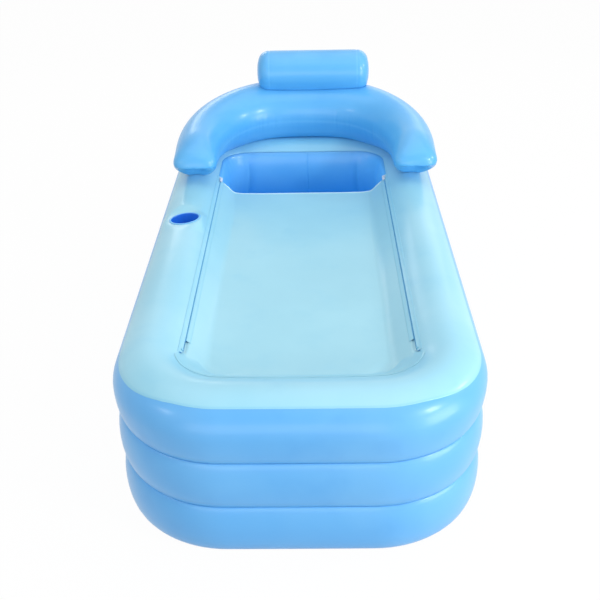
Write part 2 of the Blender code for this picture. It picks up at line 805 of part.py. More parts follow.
def zip_frame(side, y):
    """A frame on the zip: X up the rim's slope, away from the opening, Y to the head."""
    x_way = Vector((side * math.cos(ZIP_TILT), 0, math.sin(ZIP_TILT)))
    y_way = Vector((0, side, 0))
    frame = Matrix((x_way, y_way, x_way.cross(y_way))).transposed().to_4x4()
    frame.translation = Vector((side * ZIP_X, y, ZIP_Z))
    return frame


def tape_outline():
    """Section of one tape, from its row of teeth out, in the zip's frame."""
    near = TEETH_SPREAD / 2
    teeth = near + TEETH_WIDTH
    flat = TAPE_THICKNESS / 2
    tall = TEETH_HEIGHT / 2
    return [(near, -tall), (teeth, -tall), (teeth, -flat), (TAPE_WIDTH, -flat), (TAPE_WIDTH, flat),
            (teeth, flat), (teeth, tall), (near, tall)]


def add_tape(name, side, outward, low, high, parent):
    """One tape with its row of teeth. outward is 1 on the rim's side and -1 on the cover's."""
    outline = [(outward * x, z) for x, z in tape_outline()]
    low, high = sorted((side * low, side * high))
    mesh = prism_mesh(name, outline, low, high, "y")
    add_mesh(name, mesh, parent, "tape_blue", zip_frame(side, 0))


def cover_section():
    """The cover across the tub as (x, z) from the left edge to the right one."""
    slope = Vector((math.cos(ZIP_TILT), math.sin(ZIP_TILT)))
    under = Vector((slope.y, -slope.x)) * (TAPE_THICKNESS / 2 + GAP)
    edge = Vector((ZIP_X, ZIP_Z)) - slope * ZIP_LEAD + under
    fold = edge - slope * COVER_BAND
    half = [edge, edge - slope * COVER_BAND / 2, fold]
    flat = fold.x - COVER_BEND
    for share in COVER_SAG_SHARES:
        level = fold.y - COVER_BEND * math.sin(ZIP_TILT) / 2 - COVER_SAG * (1 - share * share)
        half.append(Vector((flat * share, level)))
    right = [(p.x, p.y) for p in half]
    left = [(-x, z) for x, z in right[:-1]]
    return left + list(reversed(right))


def make_cover_flap(pivot):
    """The part of the cover that folds back. Its origin is on the fold line."""
    section = cover_section()
    length = ZIP_HEAD_Y - ZIP_FOLD_Y
    ways = [length * k / FLAP_STEPS for k in range(FLAP_STEPS + 1)]
    rows = [[(x, y, z - ZIP_Z) for x, z in section] for y in ways]
    mesh = mesh_of("cover_flap", *loft(rows, wrap_loop=False), closed=False)
    add_skin(add_mesh("cover_flap", mesh, pivot, "panel_aqua"), COVER_FILM)
    hem = offset_section(section, -(COVER_FILM + GAP))[1:-1]
    rows = [[(x, y, z - ZIP_Z) for x, z in hem] for y in (length - HEM_WIDTH, length)]
    mesh = mesh_of("cover_hem", *loft(rows, wrap_loop=False), closed=False)
    add_skin(add_mesh("cover_hem", mesh, pivot, "panel_aqua"), HEM_FILM)


def foot_end_loop(corner, fold):
    """One row of the foot end as (inset, z) pairs, round the foot from the right fold to the left one.

    The corner pair holds round the foot, and the fold pair holds on the straight sides.
    """
    bend = plan_loop(*corner)
    side = plan_loop(*fold)
    last = CORNER_STEPS
    row = [side[last]] + bend[:last][::-1] + bend[-last:][::-1] + [side[-last - 1]]
    y = ZIP_FOLD_Y - COVER_SPLIT
    return [(row[0][0], y, fold[1])] + row + [(row[-1][0], y, fold[1])]


def make_cover_foot_end(tub):
    """The part of the cover past the zips. It laps the rim round the foot, where it is welded on."""
    section = cover_section()
    middle, fold, flat = [(TUB_WIDTH / 2 - x, z) for x, z in section[-4:-1]][::-1]
    lap, rim = (Vector(pair) for pair in offset_section(panel_section(), GAP + COVER_FILM)[-2:])
    run = (rim - lap).normalized() * ZIP_LEAD
    rows = [foot_end_loop(lap, rim + run * 2), foot_end_loop(rim, rim + run * 3)]
    rows += [foot_end_loop(pair, pair) for pair in (middle, fold, flat)]
    y = ZIP_FOLD_Y - COVER_SPLIT
    rows.append([(x, y, section_z(section, x)) for x, _, _ in rows[-1]])
    rows.reverse()
    mesh = mesh_of("cover_foot_end", *loft(rows, wrap_loop=False), closed=False)
    add_skin(add_mesh("cover_foot_end", mesh, tub, "panel_aqua"), COVER_FILM)


def section_z(section, x):
    for (x0, z0), (x1, z1) in zip(section[:-1], section[1:]):
        if x0 <= x <= x1:
            return z0 + (z1 - z0) * (x - x0) / (x1 - x0)
    return section[0][1]


def slider_outline():
    """Section of a slider: two plates with lips round both rows of teeth, and the web between."""
    teeth_top = TEETH_HEIGHT / 2 + GAP
    plate_top = teeth_top + SLIDER_PLATE
    lip_end = TAPE_THICKNESS / 2 + GAP
    wide = SLIDER_HALF_WIDTH
    inner = wide - SLIDER_LIP
    web = SLIDER_WEB / 2
    quarter = [(web, teeth_top), (inner, teeth_top), (inner, lip_end), (wide, lip_end), (wide, plate_top)]
    upper = quarter + [(-x, z) for x, z in reversed(quarter)]
    lower = [(-x, -z) for x, z in upper]
    return upper + lower


def make_slider(name, side, tub):
    """A slider parked past the head end of the cover's tape, with two lugs and a pin for its pull."""
    start = ZIP_HEAD_Y + SLIDER_STANDOFF
    frame = zip_frame(side, start)
    low, high = sorted((0, side * SLIDER_LENGTH))
    body = add_mesh(name, prism_mesh(name, slider_outline(), low, high, "y"), tub, "slider_white", frame)
    top = TEETH_HEIGHT / 2 + GAP + SLIDER_PLATE
    middle = side * SLIDER_LENGTH / 2
    for hand in (-1, 1):
        inner = hand * LUG_SPREAD / 2
        outer = inner + hand * LUG_THICKNESS
        low_x, high_x = sorted((inner, outer))
        corners = ((low_x, middle - LUG_HEIGHT / 2, top - SLIDER_PLATE / 2),
                   (high_x, middle + LUG_HEIGHT / 2, top + LUG_HEIGHT))
        lug = block_mesh(name + "_lug", *corners)
        combine(body, add_mesh(f"{name}_lug_{hand}", lug, tub, place=frame), "UNION")
    pin = rod_mesh(name + "_pin", PIN_RADIUS, -LUG_SPREAD / 2 - LUG_THICKNESS / 2,
                   LUG_SPREAD / 2 + LUG_THICKNESS / 2, SMALL_SIDES)
    pivot = frame @ Matrix.Translation((0, middle, top + pin_height()))
    along_pin = pivot @ Matrix.Rotation(math.pi / 2, 4, "Y")
    combine(body, add_mesh(name + "_pin", pin, tub, place=along_pin), "UNION")
    return pivot


def pin_height():
    return LUG_HEIGHT - PIN_RADIUS - GAP


def make_pull(name, side, pivot, tub):
    """A pull tab that swings on the slider's pin."""
    radius = PULL_EYE_RADIUS + PULL_THICKNESS / 2
    eye = rod_mesh(name, radius, -LUG_SPREAD / 2 + GAP, LUG_SPREAD / 2 - GAP, SMALL_SIDES)
    turn = Matrix.Rotation(math.pi / 2, 4, "Y")
    eye.transform(turn)
    pull = add_mesh(name, eye, tub, "slider_white", pivot)
    way = -side
    start, neck, end = PULL_EYE_RADIUS, radius + LUG_HEIGHT, radius + PULL_LENGTH
    half = LUG_SPREAD / 2 - GAP
    wide = PULL_WIDTH / 2
    outline = [(-half, way * start), (-half, way * neck), (-wide, way * (neck + PULL_CORNER)),
               (-wide, way * (end - PULL_CORNER)), (PULL_CORNER - wide, way * end),
               (wide - PULL_CORNER, way * end), (wide, way * (end - PULL_CORNER)),
               (wide, way * (neck + PULL_CORNER)), (half, way * neck), (half, way * start)]
    rows = [[(x, y, z) for x, y in outline] for z in (-PULL_THICKNESS / 2, PULL_THICKNESS / 2)]
    tab = mesh_of(name + "_tab", *loft(rows, cap=True))
    combine(pull, add_mesh(name + "_tab", tab, tub, place=pivot), "UNION")
    bore = rod_mesh(name + "_bore", PULL_EYE_RADIUS, -LUG_SPREAD, LUG_SPREAD, SMALL_SIDES)
    combine(pull, add_mesh(name + "_bore", bore, tub, place=pivot @ turn), "DIFFERENCE")


def make_stop(name, side, tub):
    """A clip over the rim's tape that keeps the slider on at the foot."""
    low = TEETH_HEIGHT / 2 + GAP
    y = ZIP_FOLD_Y - ZIP_FOOT_RUNOUT
    corners = ((TEETH_SPREAD / 2, -STOP_LENGTH / 2, low),
               (TEETH_SPREAD / 2 + TEETH_WIDTH * 2, STOP_LENGTH / 2, low + SLIDER_PLATE))
    frame = zip_frame(side, y + STOP_LENGTH)
    add_mesh(name, block_mesh(name, *corners), tub, "slider_white", frame)


def make_cover_and_zips(tub):
    pivot = add_empty("cover_fold", tub, Matrix.Translation((0, ZIP_FOLD_Y, ZIP_Z)))
    make_cover_flap(pivot)
    make_cover_foot_end(tub)
    shift = Matrix.Translation((0, -ZIP_FOLD_Y, -ZIP_Z))
    on_flap = add_empty("cover_tapes", pivot, shift)
    for name, side in (("left", -1), ("right", 1)):
        head, foot = ZIP_HEAD_Y + ZIP_HEAD_RUNOUT, ZIP_FOLD_Y - ZIP_FOOT_RUNOUT
        add_tape(f"zip_{name}_rim_tape", side, 1, foot, head, tub)
        add_tape(f"zip_{name}_cover_tape", side, -1, ZIP_FOLD_Y + FOLD_TAPE_LEAD, ZIP_HEAD_Y, on_flap)
        pull_pivot = make_slider(f"zip_{name}_slider", side, tub)
        make_pull(f"zip_{name}_pull", side, pull_pivot, tub)
        make_stop(f"zip_{name}_stop", side, tub)


# Drain


def drain_plug_mesh(name):
    cap = (DRAIN_CAP_RADIUS, DRAIN_CAP_THICKNESS)
    pin = (DRAIN_PIN_RADIUS, DRAIN_PIN_TIP_RADIUS, DRAIN_PIN_LENGTH)
    strap = (DRAIN_STRAP_WIDTH, DRAIN_STRAP_THICKNESS, DRAIN_BARREL_RADIUS)
    return plug_mesh(name, DRAIN_HINGE, cap, pin, strap, TURNED_SIDES)


def flange_profile(bore, length):
    top = GAP + DRAIN_FLANGE_THICKNESS
    edge = DRAIN_FLANGE_RADIUS - DRAIN_FLANGE_THICKNESS / 2
    return [(bore, -length), (DRAIN_PIPE_RADIUS, -length), (DRAIN_PIPE_RADIUS, GAP),
            (DRAIN_FLANGE_RADIUS, GAP), (DRAIN_FLANGE_RADIUS, top - DRAIN_FLANGE_THICKNESS / 2),
            (edge, top), (bore, top)]


def make_drain(ring, tub):
    """A flanged pipe through the lower ring, an inner flange, and a stopper at each end."""
    level = LOWER_BASE + (LOWER_HEIGHT - GAP) / 2
    outside, inside = head_wall_y(facet_inset(0, 1)), head_wall_y(facet_inset(SIDE_RIM + INNER_BULGE, -1))
    outer = wall_frame((DRAIN_X, outside, level), (0, 1, 0), (0, 0, -1))
    inner = wall_frame((DRAIN_X, inside, level), (0, -1, 0), (0, 0, -1))
    length = outside - inside
    hole = rod_mesh("drain_hole", DRAIN_PIPE_RADIUS + GAP, -length - OVERRUN, OVERRUN, TURNED_SIDES)
    combine(ring, add_mesh("drain_hole", hole, tub, place=outer), "DIFFERENCE")
    pipe = turned("drain_pipe", flange_profile(DRAIN_BORE_RADIUS, length), TURNED_SIDES)
    add_mesh("drain_pipe", pipe, tub, "valve_clear", outer)
    flange = turned("drain_inner_flange", [
        (DRAIN_BORE_RADIUS, GAP), (DRAIN_FLANGE_RADIUS, GAP),
        (DRAIN_FLANGE_RADIUS, GAP + DRAIN_FLANGE_THICKNESS),
        (DRAIN_BORE_RADIUS, GAP + DRAIN_FLANGE_THICKNESS)], TURNED_SIDES)
    add_mesh("drain_inner_flange", flange, tub, "valve_clear", inner)
    lift = GAP + DRAIN_FLANGE_THICKNESS + GAP + DRAIN_BARREL_RADIUS
    hinge = Matrix.Translation((-DRAIN_HINGE, 0, lift))
    for name, frame in (("drain_cap", outer), ("drain_stopper", inner)):
        add_mesh(name, drain_plug_mesh(name), tub, "valve_clear", frame @ hinge)


def facet_inset(edge_inset, side):
    """Inset of the upright facet halfway up a ring's side."""
    bulge = OUTER_BULGE if side > 0 else INNER_BULGE
    return edge_inset + side * bulge * (1 - math.cos(math.pi / RING_FACETS / 2))


def make_valves(chambers, tub):
    """One valve for each air chamber, where the photograph's side can't show it."""
    base, plug = valve_base_mesh(), valve_plug_mesh()
    wall_y = head_wall_y(facet_inset(0, 1))
    back, down = (0, 1, 0), (0, 0, -1)
    levels = (("lower_ring", LOWER_BASE, LOWER_HEIGHT), ("middle_ring", MIDDLE_BASE, MIDDLE_HEIGHT),
              ("upper_ring", UPPER_BASE, UPPER_HEIGHT))
    frames = {}
    for name, level, height in levels:
        middle = level + (height - GAP) / 2
        frames[name] = wall_frame((RING_VALVE_X, wall_y, middle), back, down)
    tube_back = BACKREST_BACK_Y + BACKREST_BACK_RADIUS * TUBE_APOTHEM_SHARE
    frames["backrest_tube"] = wall_frame((BACKREST_OFFSET, tube_back, BACKREST_BACK_Z), back, down)
    pillow = pillow_centre()
    pillow_back = pillow.y + PILLOW_RADIUS * TUBE_APOTHEM_SHARE
    frames["head_pillow"] = wall_frame((pillow.x, pillow_back, pillow.z), back, down)
    crown = LOWER_BASE + FLOOR_VALLEY + (FLOOR_HEIGHT - FLOOR_VALLEY) * math.cos(math.pi / FLOOR_FACETS / 2)
    frames["floor_cushion"] = wall_frame((0, HALF_LENGTH / 2, crown), (0, 0, 1), back)
    for name, frame in frames.items():
        add_valve(name, chambers[name], frame, base, plug, tub)


def main():
    clear_scene()
    tub = add_empty("tub", place=Matrix.Translation((0, CENTRE_SHIFT, 0)))
    make_ground_sheet(tub)
    chambers = {
        "lower_ring": make_closed_ring("lower_ring", LOWER_BASE, LOWER_HEIGHT, 0, tub),
        "middle_ring": make_closed_ring("middle_ring", MIDDLE_BASE, MIDDLE_HEIGHT, INNER_DROP, tub),
        "upper_ring": make_upper_ring(tub),
        "floor_cushion": make_floor(tub),
        "backrest_tube": make_backrest(tub),
        "head_pillow": make_pillow(tub),
    }
    make_cup_holder(make_top_panel(tub), tub)
    make_cover_and_zips(tub)
    make_drain(chambers["lower_ring"], tub)
    make_valves(chambers, tub)


main()
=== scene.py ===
# %% [markdown]
# The object is a full-length inflatable bathtub. Its wall is three air rings of blue vinyl
# film, welded one on the other, under a rim panel of aqua film. A horseshoe air tube and a
# round pillow lie on the head end, and an aqua cover closes the foot and middle of the
# opening between two zips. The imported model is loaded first, as the fixed frame.

# %% Frame
import math

import bmesh
import bpy
import numpy as np
from mathutils import Matrix, Vector
from mathutils.bvhtree import BVHTree


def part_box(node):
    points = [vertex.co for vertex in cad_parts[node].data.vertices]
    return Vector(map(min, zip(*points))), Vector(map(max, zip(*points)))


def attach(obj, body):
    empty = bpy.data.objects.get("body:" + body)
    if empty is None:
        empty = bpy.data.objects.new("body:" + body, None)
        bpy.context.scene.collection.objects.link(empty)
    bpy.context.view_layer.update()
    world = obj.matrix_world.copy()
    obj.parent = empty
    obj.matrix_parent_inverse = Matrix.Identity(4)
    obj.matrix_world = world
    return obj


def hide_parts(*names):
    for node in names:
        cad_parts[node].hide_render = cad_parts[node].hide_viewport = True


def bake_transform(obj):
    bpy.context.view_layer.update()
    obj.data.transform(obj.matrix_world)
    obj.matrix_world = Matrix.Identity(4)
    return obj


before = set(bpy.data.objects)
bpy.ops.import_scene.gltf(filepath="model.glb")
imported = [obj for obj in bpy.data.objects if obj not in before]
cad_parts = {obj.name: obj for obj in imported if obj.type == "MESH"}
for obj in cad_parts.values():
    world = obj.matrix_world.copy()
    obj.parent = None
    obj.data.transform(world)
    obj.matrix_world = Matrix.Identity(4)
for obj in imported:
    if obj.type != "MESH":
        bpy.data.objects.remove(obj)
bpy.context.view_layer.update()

low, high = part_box("lower_ring")
SHIFT = (low[1] + high[1]) / 2

# %% [markdown]
# The sizes are those of the real tub: a wall 1.60 m by 0.84 m, rings about 125 mm high, film
# of 0.4 mm. They are the CAD model's own sizes, so each piece fits its node. They are
# repeated here in metres, in the tub's own frame, whose middle is SHIFT along Y.

# %% Sizes
TUB_LENGTH, TUB_WIDTH, FOOT_RADIUS, HEAD_RADIUS = 1.600, 0.840, 0.258, 0.220
OPENING_WIDTH, FOOT_RIM, HEAD_RIM = 0.540, 0.156, 0.122
OPENING_FOOT_RADIUS, OPENING_HEAD_RADIUS, FOOT_BOW = 0.100, 0.085, 0.012
GROUND_FILM, GAP = 0.0008, 0.0003
LOWER_HEIGHT, MIDDLE_HEIGHT, UPPER_HEIGHT = 0.125, 0.121, 0.128
OUTER_BULGE, INNER_BULGE, INNER_DROP = 0.013, 0.016, 0.036
SEAM_INSET, OPENING_DROP, PANEL_ARCH, LIP_TURN = 0.034, 0.014, 0.020, 0.012
SIDE_RIM = (TUB_WIDTH - OPENING_WIDTH) / 2
HALF_LENGTH = TUB_LENGTH / 2
LOWER_BASE = GROUND_FILM + GAP
MIDDLE_BASE = LOWER_BASE + LOWER_HEIGHT
UPPER_BASE = MIDDLE_BASE + MIDDLE_HEIGHT
SEAM_Z = UPPER_BASE + UPPER_HEIGHT
ZIP_LEAD, TAPE_THICKNESS = 0.009, 0.0006
ZIP_HEAD_Y, ZIP_FOLD_Y, ZIP_HEAD_RUNOUT, ZIP_FOOT_RUNOUT = 0.444, -0.510, 0.026, 0.024
FOLD_TAPE_LEAD = 0.022
COVER_FILM, COVER_BAND, COVER_BEND, COVER_SAG = 0.0006, 0.060, 0.012, 0.008
WALL_SEAM_X = 0.018
CUP_X, CUP_Y, CUP_RADIUS, CUP_WALL = -0.334, 0.108 + SHIFT, 0.039, 0.0015


def panel_z(inset):
    """Height of the rim's panel, an arch from the outer seam to the opening."""
    share = (inset - SEAM_INSET) / (SIDE_RIM - SEAM_INSET)
    return SEAM_Z - OPENING_DROP * share + 4 * PANEL_ARCH * share * (1 - share)


# The zip's centre comes from the last straight stretch of the CAD's panel, 10 mm long
LAST_RUN = 0.010
LAST = (LAST_RUN, panel_z(SIDE_RIM) - panel_z(SIDE_RIM - LAST_RUN))
SLOPE = (LAST[0] / math.hypot(*LAST), LAST[1] / math.hypot(*LAST))
ZIP_RISE = TAPE_THICKNESS / 2 + GAP
ZIP_X = TUB_WIDTH / 2 - (SIDE_RIM + SLOPE[0] * ZIP_LEAD - SLOPE[1] * ZIP_RISE)
ZIP_Z = panel_z(SIDE_RIM) + SLOPE[1] * ZIP_LEAD + SLOPE[0] * ZIP_RISE
ZIP_TILT = math.atan2(-SLOPE[1], SLOPE[0])
print("zip at x", round(ZIP_X, 5), "z", round(ZIP_Z, 5), "tilt", round(math.degrees(ZIP_TILT), 2))

# %% [markdown]
# The finishes are vinyl film, moulded vinyl and hard plastic. All are node graphs with no
# pictures in them. A small class lets each graph be written as arithmetic, so that the
# recipe of a finish can be read: a colour, what deepens it at the welds, and its bump.

# %% Shading tools
class Value:
    """One output of a node, for use in arithmetic."""

    def __init__(self, graph, socket):
        self.graph = graph
        self.socket = socket


def arithmetic(operation, swapped):
    """The method that turns an arithmetic sign into a maths node."""

    def method(self, other):
        return self.graph.math(operation, *((other, self) if swapped else (self, other)))

    return method


for sign, operation in (("add", "ADD"), ("sub", "SUBTRACT"), ("mul", "MULTIPLY")):
    setattr(Value, f"__{sign}__", arithmetic(operation, False))
    setattr(Value, f"__r{sign}__", arithmetic(operation, True))


class Graph:
    """A material whose nodes are made by expressions."""

    def __init__(self, name):
        self.material = bpy.data.materials.new(name)
        self.material.use_nodes = True
        self.tree = self.material.node_tree
        self.shader = self.tree.nodes["Principled BSDF"]

    def node(self, kind, settings=None, inputs=None):
        made = self.tree.nodes.new(kind)
        for key, value in (settings or {}).items():
            setattr(made, key, value)
        for key, value in (inputs or {}).items():
            self.feed(made.inputs[key], value)
        return made

    def feed(self, socket, value):
        if isinstance(value, Value):
            self.tree.links.new(value.socket, socket)
        else:
            socket.default_value = value

    def value(self, made, output=0):
        return Value(self, made.outputs[output])

    def math(self, operation, *items, clamp=False):
        settings = {"operation": operation, "use_clamp": clamp}
        return self.value(self.node("ShaderNodeMath", settings, dict(enumerate(items))))

    def smooth(self, item, low, high):
        settings = {"interpolation_type": "SMOOTHSTEP"}
        made = self.node("ShaderNodeMapRange", settings, {0: item, 1: low, 2: high, 3: 0.0, 4: 1.0})
        return self.value(made)

    def mix(self, first, second, share):
        settings = {"data_type": "RGBA", "clamp_factor": True}
        return self.value(self.node("ShaderNodeMix", settings, {0: share, 6: first, 7: second}), 2)

    def place(self):
        return self.value(self.node("ShaderNodeTexCoord"), "Object")

    def map(self):
        return self.value(self.node("ShaderNodeUVMap", {"uv_map": "film"}))

    def parts(self, vector):
        made = self.node("ShaderNodeSeparateXYZ", None, {0: vector})
        return self.value(made, 0), self.value(made, 1), self.value(made, 2)

    def noise(self, vector, scale, detail=2.0, roughness=0.5):
        inputs = {"Vector": vector, "Scale": scale, "Detail": detail, "Roughness": roughness}
        return self.value(self.node("ShaderNodeTexNoise", None, inputs))

    def attribute(self, name):
        return self.value(self.node("ShaderNodeAttribute", {"attribute_name": name}), "Fac")

    def bump(self, height, strength, distance):
        inputs = {"Height": height, "Strength": strength, "Distance": distance}
        return self.value(self.node("ShaderNodeBump", None, inputs))

    def finish(self, **inputs):
        for key, value in inputs.items():
            self.feed(self.shader.inputs[key.replace("_", " ")], value)
        return self.material


def linear(red, green, blue):
    """A screen colour from 0 to 255 as linear light."""
    shares = [value / 255 for value in (red, green, blue)]
    light = [s / 12.92 if s <= 0.04045 else ((s + 0.055) / 1.055) ** 2.4 for s in shares]
    return (*light, 1.0)


# %% [markdown]
# Vinyl film is calendered: it has a soft gloss, a very fine grain and a colour that is a
# little uneven, and it is pale where it stretches and deep where two films are welded. It is
# not quite opaque: a little blue light comes through an air chamber, most into the basin,
# and this is painted light, a faint emission, stronger on the head pieces, since a solid of
# film would cost far more to trace. The weld lines come from a number stored on each mesh,
# weld, and they carry the heat seal's fine ribs, which follow the mesh's own map in metres.

# %% Film
# Emission colours, painted light: a faint blue glow on the rings, more on the head pieces, most inside the
# basin
NO_GLOW, RING_GLOW, HEAD_GLOW = (0, 0, 0, 1), (0.0, 0.014, 0.02, 1), (0.0, 0.030, 0.055, 1)
INSIDE_GLOW = (0.004, 0.070, 0.150, 1)
# The basin's inside, where more light comes through, fades out between each pair of places
INSIDE_X, INSIDE_Y, INSIDE_Z, BASIN_Y = (0.30, 0.36), (0.70, 0.74), (0.346, 0.362), 0.017 + SHIFT
# Where the painted shade under the backrest begins and where it is full, along Y
HEAD_SHADE_Y = (0.52, 0.72)


def film(name, colour, deep, pale, roughness, glow=NO_GLOW, inside_glow=NO_GLOW, head_shade_share=0.0,
         weld_share=0.28, weld_rise=-0.45):
    """Soft vinyl film, with welds, grain, a little haze and the light that comes through.

    Its colours are screen colours. A negative weld_share makes the welds pale, not deep.
    """
    colour, deep, pale = linear(*colour), linear(*deep), linear(*pale)
    g = Graph(name)
    place = g.place()
    weld = g.attribute("weld")
    pleat_shade = g.attribute("pleat_shade")
    along = g.parts(g.map())[0]
    haze = g.noise(place, 3.1, 3.0, 0.55)
    cloud = g.noise(place, 11.0, 3.0, 0.5)
    grain = g.noise(place, 420.0, 2.0, 0.6)
    slack = g.noise(place, 34.0, 2.0, 0.45)
    tone = g.mix(colour, pale, g.smooth(haze, 0.38, 0.74) * 0.55)
    tone = g.mix(tone, deep, g.smooth(cloud, 0.50, 0.85) * 0.16)
    tone = g.mix(tone, deep if weld_share > 0 else pale, weld * abs(weld_share))
    # Painted shade: the colour is deepened along pleats, folds and puckers, where shade falls
    tone = g.mix(tone, deep, pleat_shade * 0.34)
    x, y, z = g.parts(place)
    # Painted shade: the film deepens towards the head end, where the backrest shades the rim's panel
    tone = g.mix(tone, deep, g.smooth(y, *HEAD_SHADE_Y) * head_shade_share)
    beside = 1 - g.smooth(g.math("ABSOLUTE", x), *INSIDE_X)
    between = 1 - g.smooth(g.math("ABSOLUTE", y - BASIN_Y), *INSIDE_Y)
    inside = beside * between * (1 - g.smooth(z, *INSIDE_Z))
    through = g.mix(glow, inside_glow, inside)
    ribs = g.math("PINGPONG", along * 420.0, 0.5) * weld
    rough = roughness + weld * 0.10 + (cloud - 0.5) * 0.10 + (grain - 0.5) * 0.05
    height = grain * 0.035 + ribs * 0.30 + slack * 0.10 + weld * weld_rise
    return g.finish(
        Base_Color=tone,
        Roughness=rough,
        Normal=g.bump(height, 0.45, 0.0009),
        Coat_Weight=0.25,
        Coat_Roughness=0.16,
        Specular_IOR_Level=0.42,
        IOR=1.52,
        Emission_Color=through,
        Emission_Strength=1.0,
    )


RING_FILM = film("ring_film", (94, 172, 234), (54, 136, 216), (116, 186, 238), 0.36, RING_GLOW, INSIDE_GLOW)
HEAD_FILM = film("head_film", (86, 170, 230), (46, 132, 214), (108, 186, 238), 0.34, HEAD_GLOW, HEAD_GLOW,
                 weld_share=-0.9, weld_rise=1.1)
PANEL_FILM = film("panel_film", (150, 211, 233), (92, 182, 226), (170, 222, 241), 0.38, head_shade_share=0.72)
COVER_FILM_FINISH = film("cover_film", (156, 213, 231), (118, 194, 226), (168, 223, 239), 0.34)
FLOOR_FILM = film("floor_film", (96, 172, 236), (50, 126, 210), (116, 186, 240), 0.42, RING_GLOW, INSIDE_GLOW)
# The hem bead's colour is painted near white: a painted highlight on the same aqua film
HEM_HIGHLIGHT_FILM = film("hem_highlight_film", (206, 238, 247), (168, 218, 238), (218, 244, 250), 0.26)
print("film finishes:", len(bpy.data.materials))


def moulded(name, colour, deep, roughness, coat=0.1, glow=NO_GLOW, lip=(0, 0, 0)):
    """Moulded plastic with a fine spark-eroded grain, a lip colour where its weld number is set, and a glow
    that is painted light.
    """
    colour, deep, lip = linear(*colour), linear(*deep), linear(*lip)
    g = Graph(name)
    place = g.place()
    grain = g.noise(place, 700.0, 2.0, 0.6)
    cloud = g.noise(place, 60.0, 2.0, 0.5)
    tone = g.mix(colour, deep, g.smooth(cloud, 0.40, 0.80) * 0.35)
    tone = g.mix(tone, lip, g.attribute("weld"))
    return g.finish(
        Base_Color=tone,
        Roughness=roughness + (cloud - 0.5) * 0.16 + (grain - 0.5) * 0.06,
        Normal=g.bump(grain * 0.05 + cloud * 0.08, 0.35, 0.0005),
        Coat_Weight=coat,
        Coat_Roughness=0.2,
        IOR=1.5,
        Emission_Color=glow,
        Emission_Strength=1.0,
    )


# The cup's glow is painted light: an emission that lightens the shaded pocket
CUP_BLUE = moulded("cup_blue", (34, 104, 208), (22, 80, 184), 0.40, glow=(0.002, 0.036, 0.130, 1),
                   lip=(112, 186, 226))
VALVE_MILK = moulded("valve_milk", (196, 224, 240), (164, 204, 230), 0.30, 0.2)
SLIDER_PLASTIC = moulded("slider_plastic", (226, 232, 238), (196, 208, 220), 0.34, 0.2)
TEETH_BLUE = moulded("teeth_blue", (98, 174, 220), (78, 154, 208), 0.42)
STOP_AQUA = moulded("stop_aqua", (140, 206, 232), (118, 190, 224), 0.38)
print("finishes with the moulded ones:", len(bpy.data.materials))

# %% [markdown]
# Every film piece is a surface through rows of points, like the welded panels of the real
# tub, whose shape comes from flat pieces pulled round by air. These tools turn rows into a
# mesh with a map in metres and the numbers that the finish reads. Rows are close together
# where the film turns sharply, and far apart where it is even.

# %% Mesh tools
def near(values, centre, width):
    """1 at a line and 0 away from it."""
    return np.exp(-(((values - centre) / width) ** 2))


def ramp(values, start, length):
    """0 up to start, then evenly up to 1 over a length."""
    return np.clip((values - start) / length, 0, 1)


def eased(share):
    """A share from 0 to 1 with soft ends."""
    return share * share * (3 - 2 * share)


def circle(sides, offset=0.0):
    """Angles round a circle, turned by a part of one side."""
    return 2 * math.pi * (np.arange(sides) + offset) / sides


def placed(name, data):
    """A new object in the scene."""
    obj = bpy.data.objects.new(name, data)
    bpy.context.collection.objects.link(obj)
    return obj


def grid_faces(rows, columns, wrap_rows=False, wrap_columns=False):
    """The corners of a grid's faces, and where on the map each corner lies."""
    r = np.arange(rows if wrap_rows else rows - 1)
    c = np.arange(columns if wrap_columns else columns - 1)
    row, column = (a.ravel() for a in np.meshgrid(r, c, indexing="ij"))
    next_row, next_column = (row + 1) % rows, (column + 1) % columns
    corners = [(row, column), (row, next_column), (next_row, next_column), (next_row, column)]
    faces = np.stack([a * columns + b for a, b in corners], 1)
    steps = [(row, column), (row, column + 1), (row + 1, column + 1), (row + 1, column)]
    return faces, steps


def lengths(points, closed):
    """How far along a line each point lies, with one more value for a closed line's end."""
    line = np.vstack([points, points[:1]]) if closed else points
    return np.concatenate([[0], np.cumsum(np.linalg.norm(np.diff(line, axis=0), axis=1))])


def surface(name, points, wrap_rows=False, wrap_columns=False, weld=None, pleat_shade=None, caps=False):
    """An object from a grid of points, rows by columns by 3, with its map and its numbers."""
    rows, columns = points.shape[:2]
    faces, steps = grid_faces(rows, columns, wrap_rows, wrap_columns)
    flat = points.reshape(-1, 3)
    mesh = bpy.data.meshes.new(name)
    extra = [tuple(range(columns))[::-1], tuple((rows - 1) * columns + k for k in range(columns))]
    mesh.from_pydata(flat.tolist(), [], faces.tolist() + (extra if caps else []))
    along = lengths(points[rows // 2], wrap_columns)
    across = lengths(points[:, columns // 3], wrap_rows)
    uv = np.stack([np.stack([along[c], across[r]], -1) for r, c in steps], 1)
    values = np.zeros((len(mesh.loops), 2))
    values[: uv.size // 2] = uv.reshape(-1, 2)
    mesh.uv_layers.new(name="film").data.foreach_set("uv", values.ravel())
    for title, numbers in (("weld", weld), ("pleat_shade", pleat_shade)):
        store(mesh, title, np.broadcast_to(0.0 if numbers is None else numbers, (rows, columns)).ravel())
    mesh.shade_smooth()
    return placed(name, mesh)


def store(mesh, title, numbers):
    """Keeps one number for each point of a mesh, for its finish to read."""
    attribute = mesh.attributes.new(title, "FLOAT", "POINT")
    attribute.data.foreach_set("value", np.asarray(numbers, np.float32))


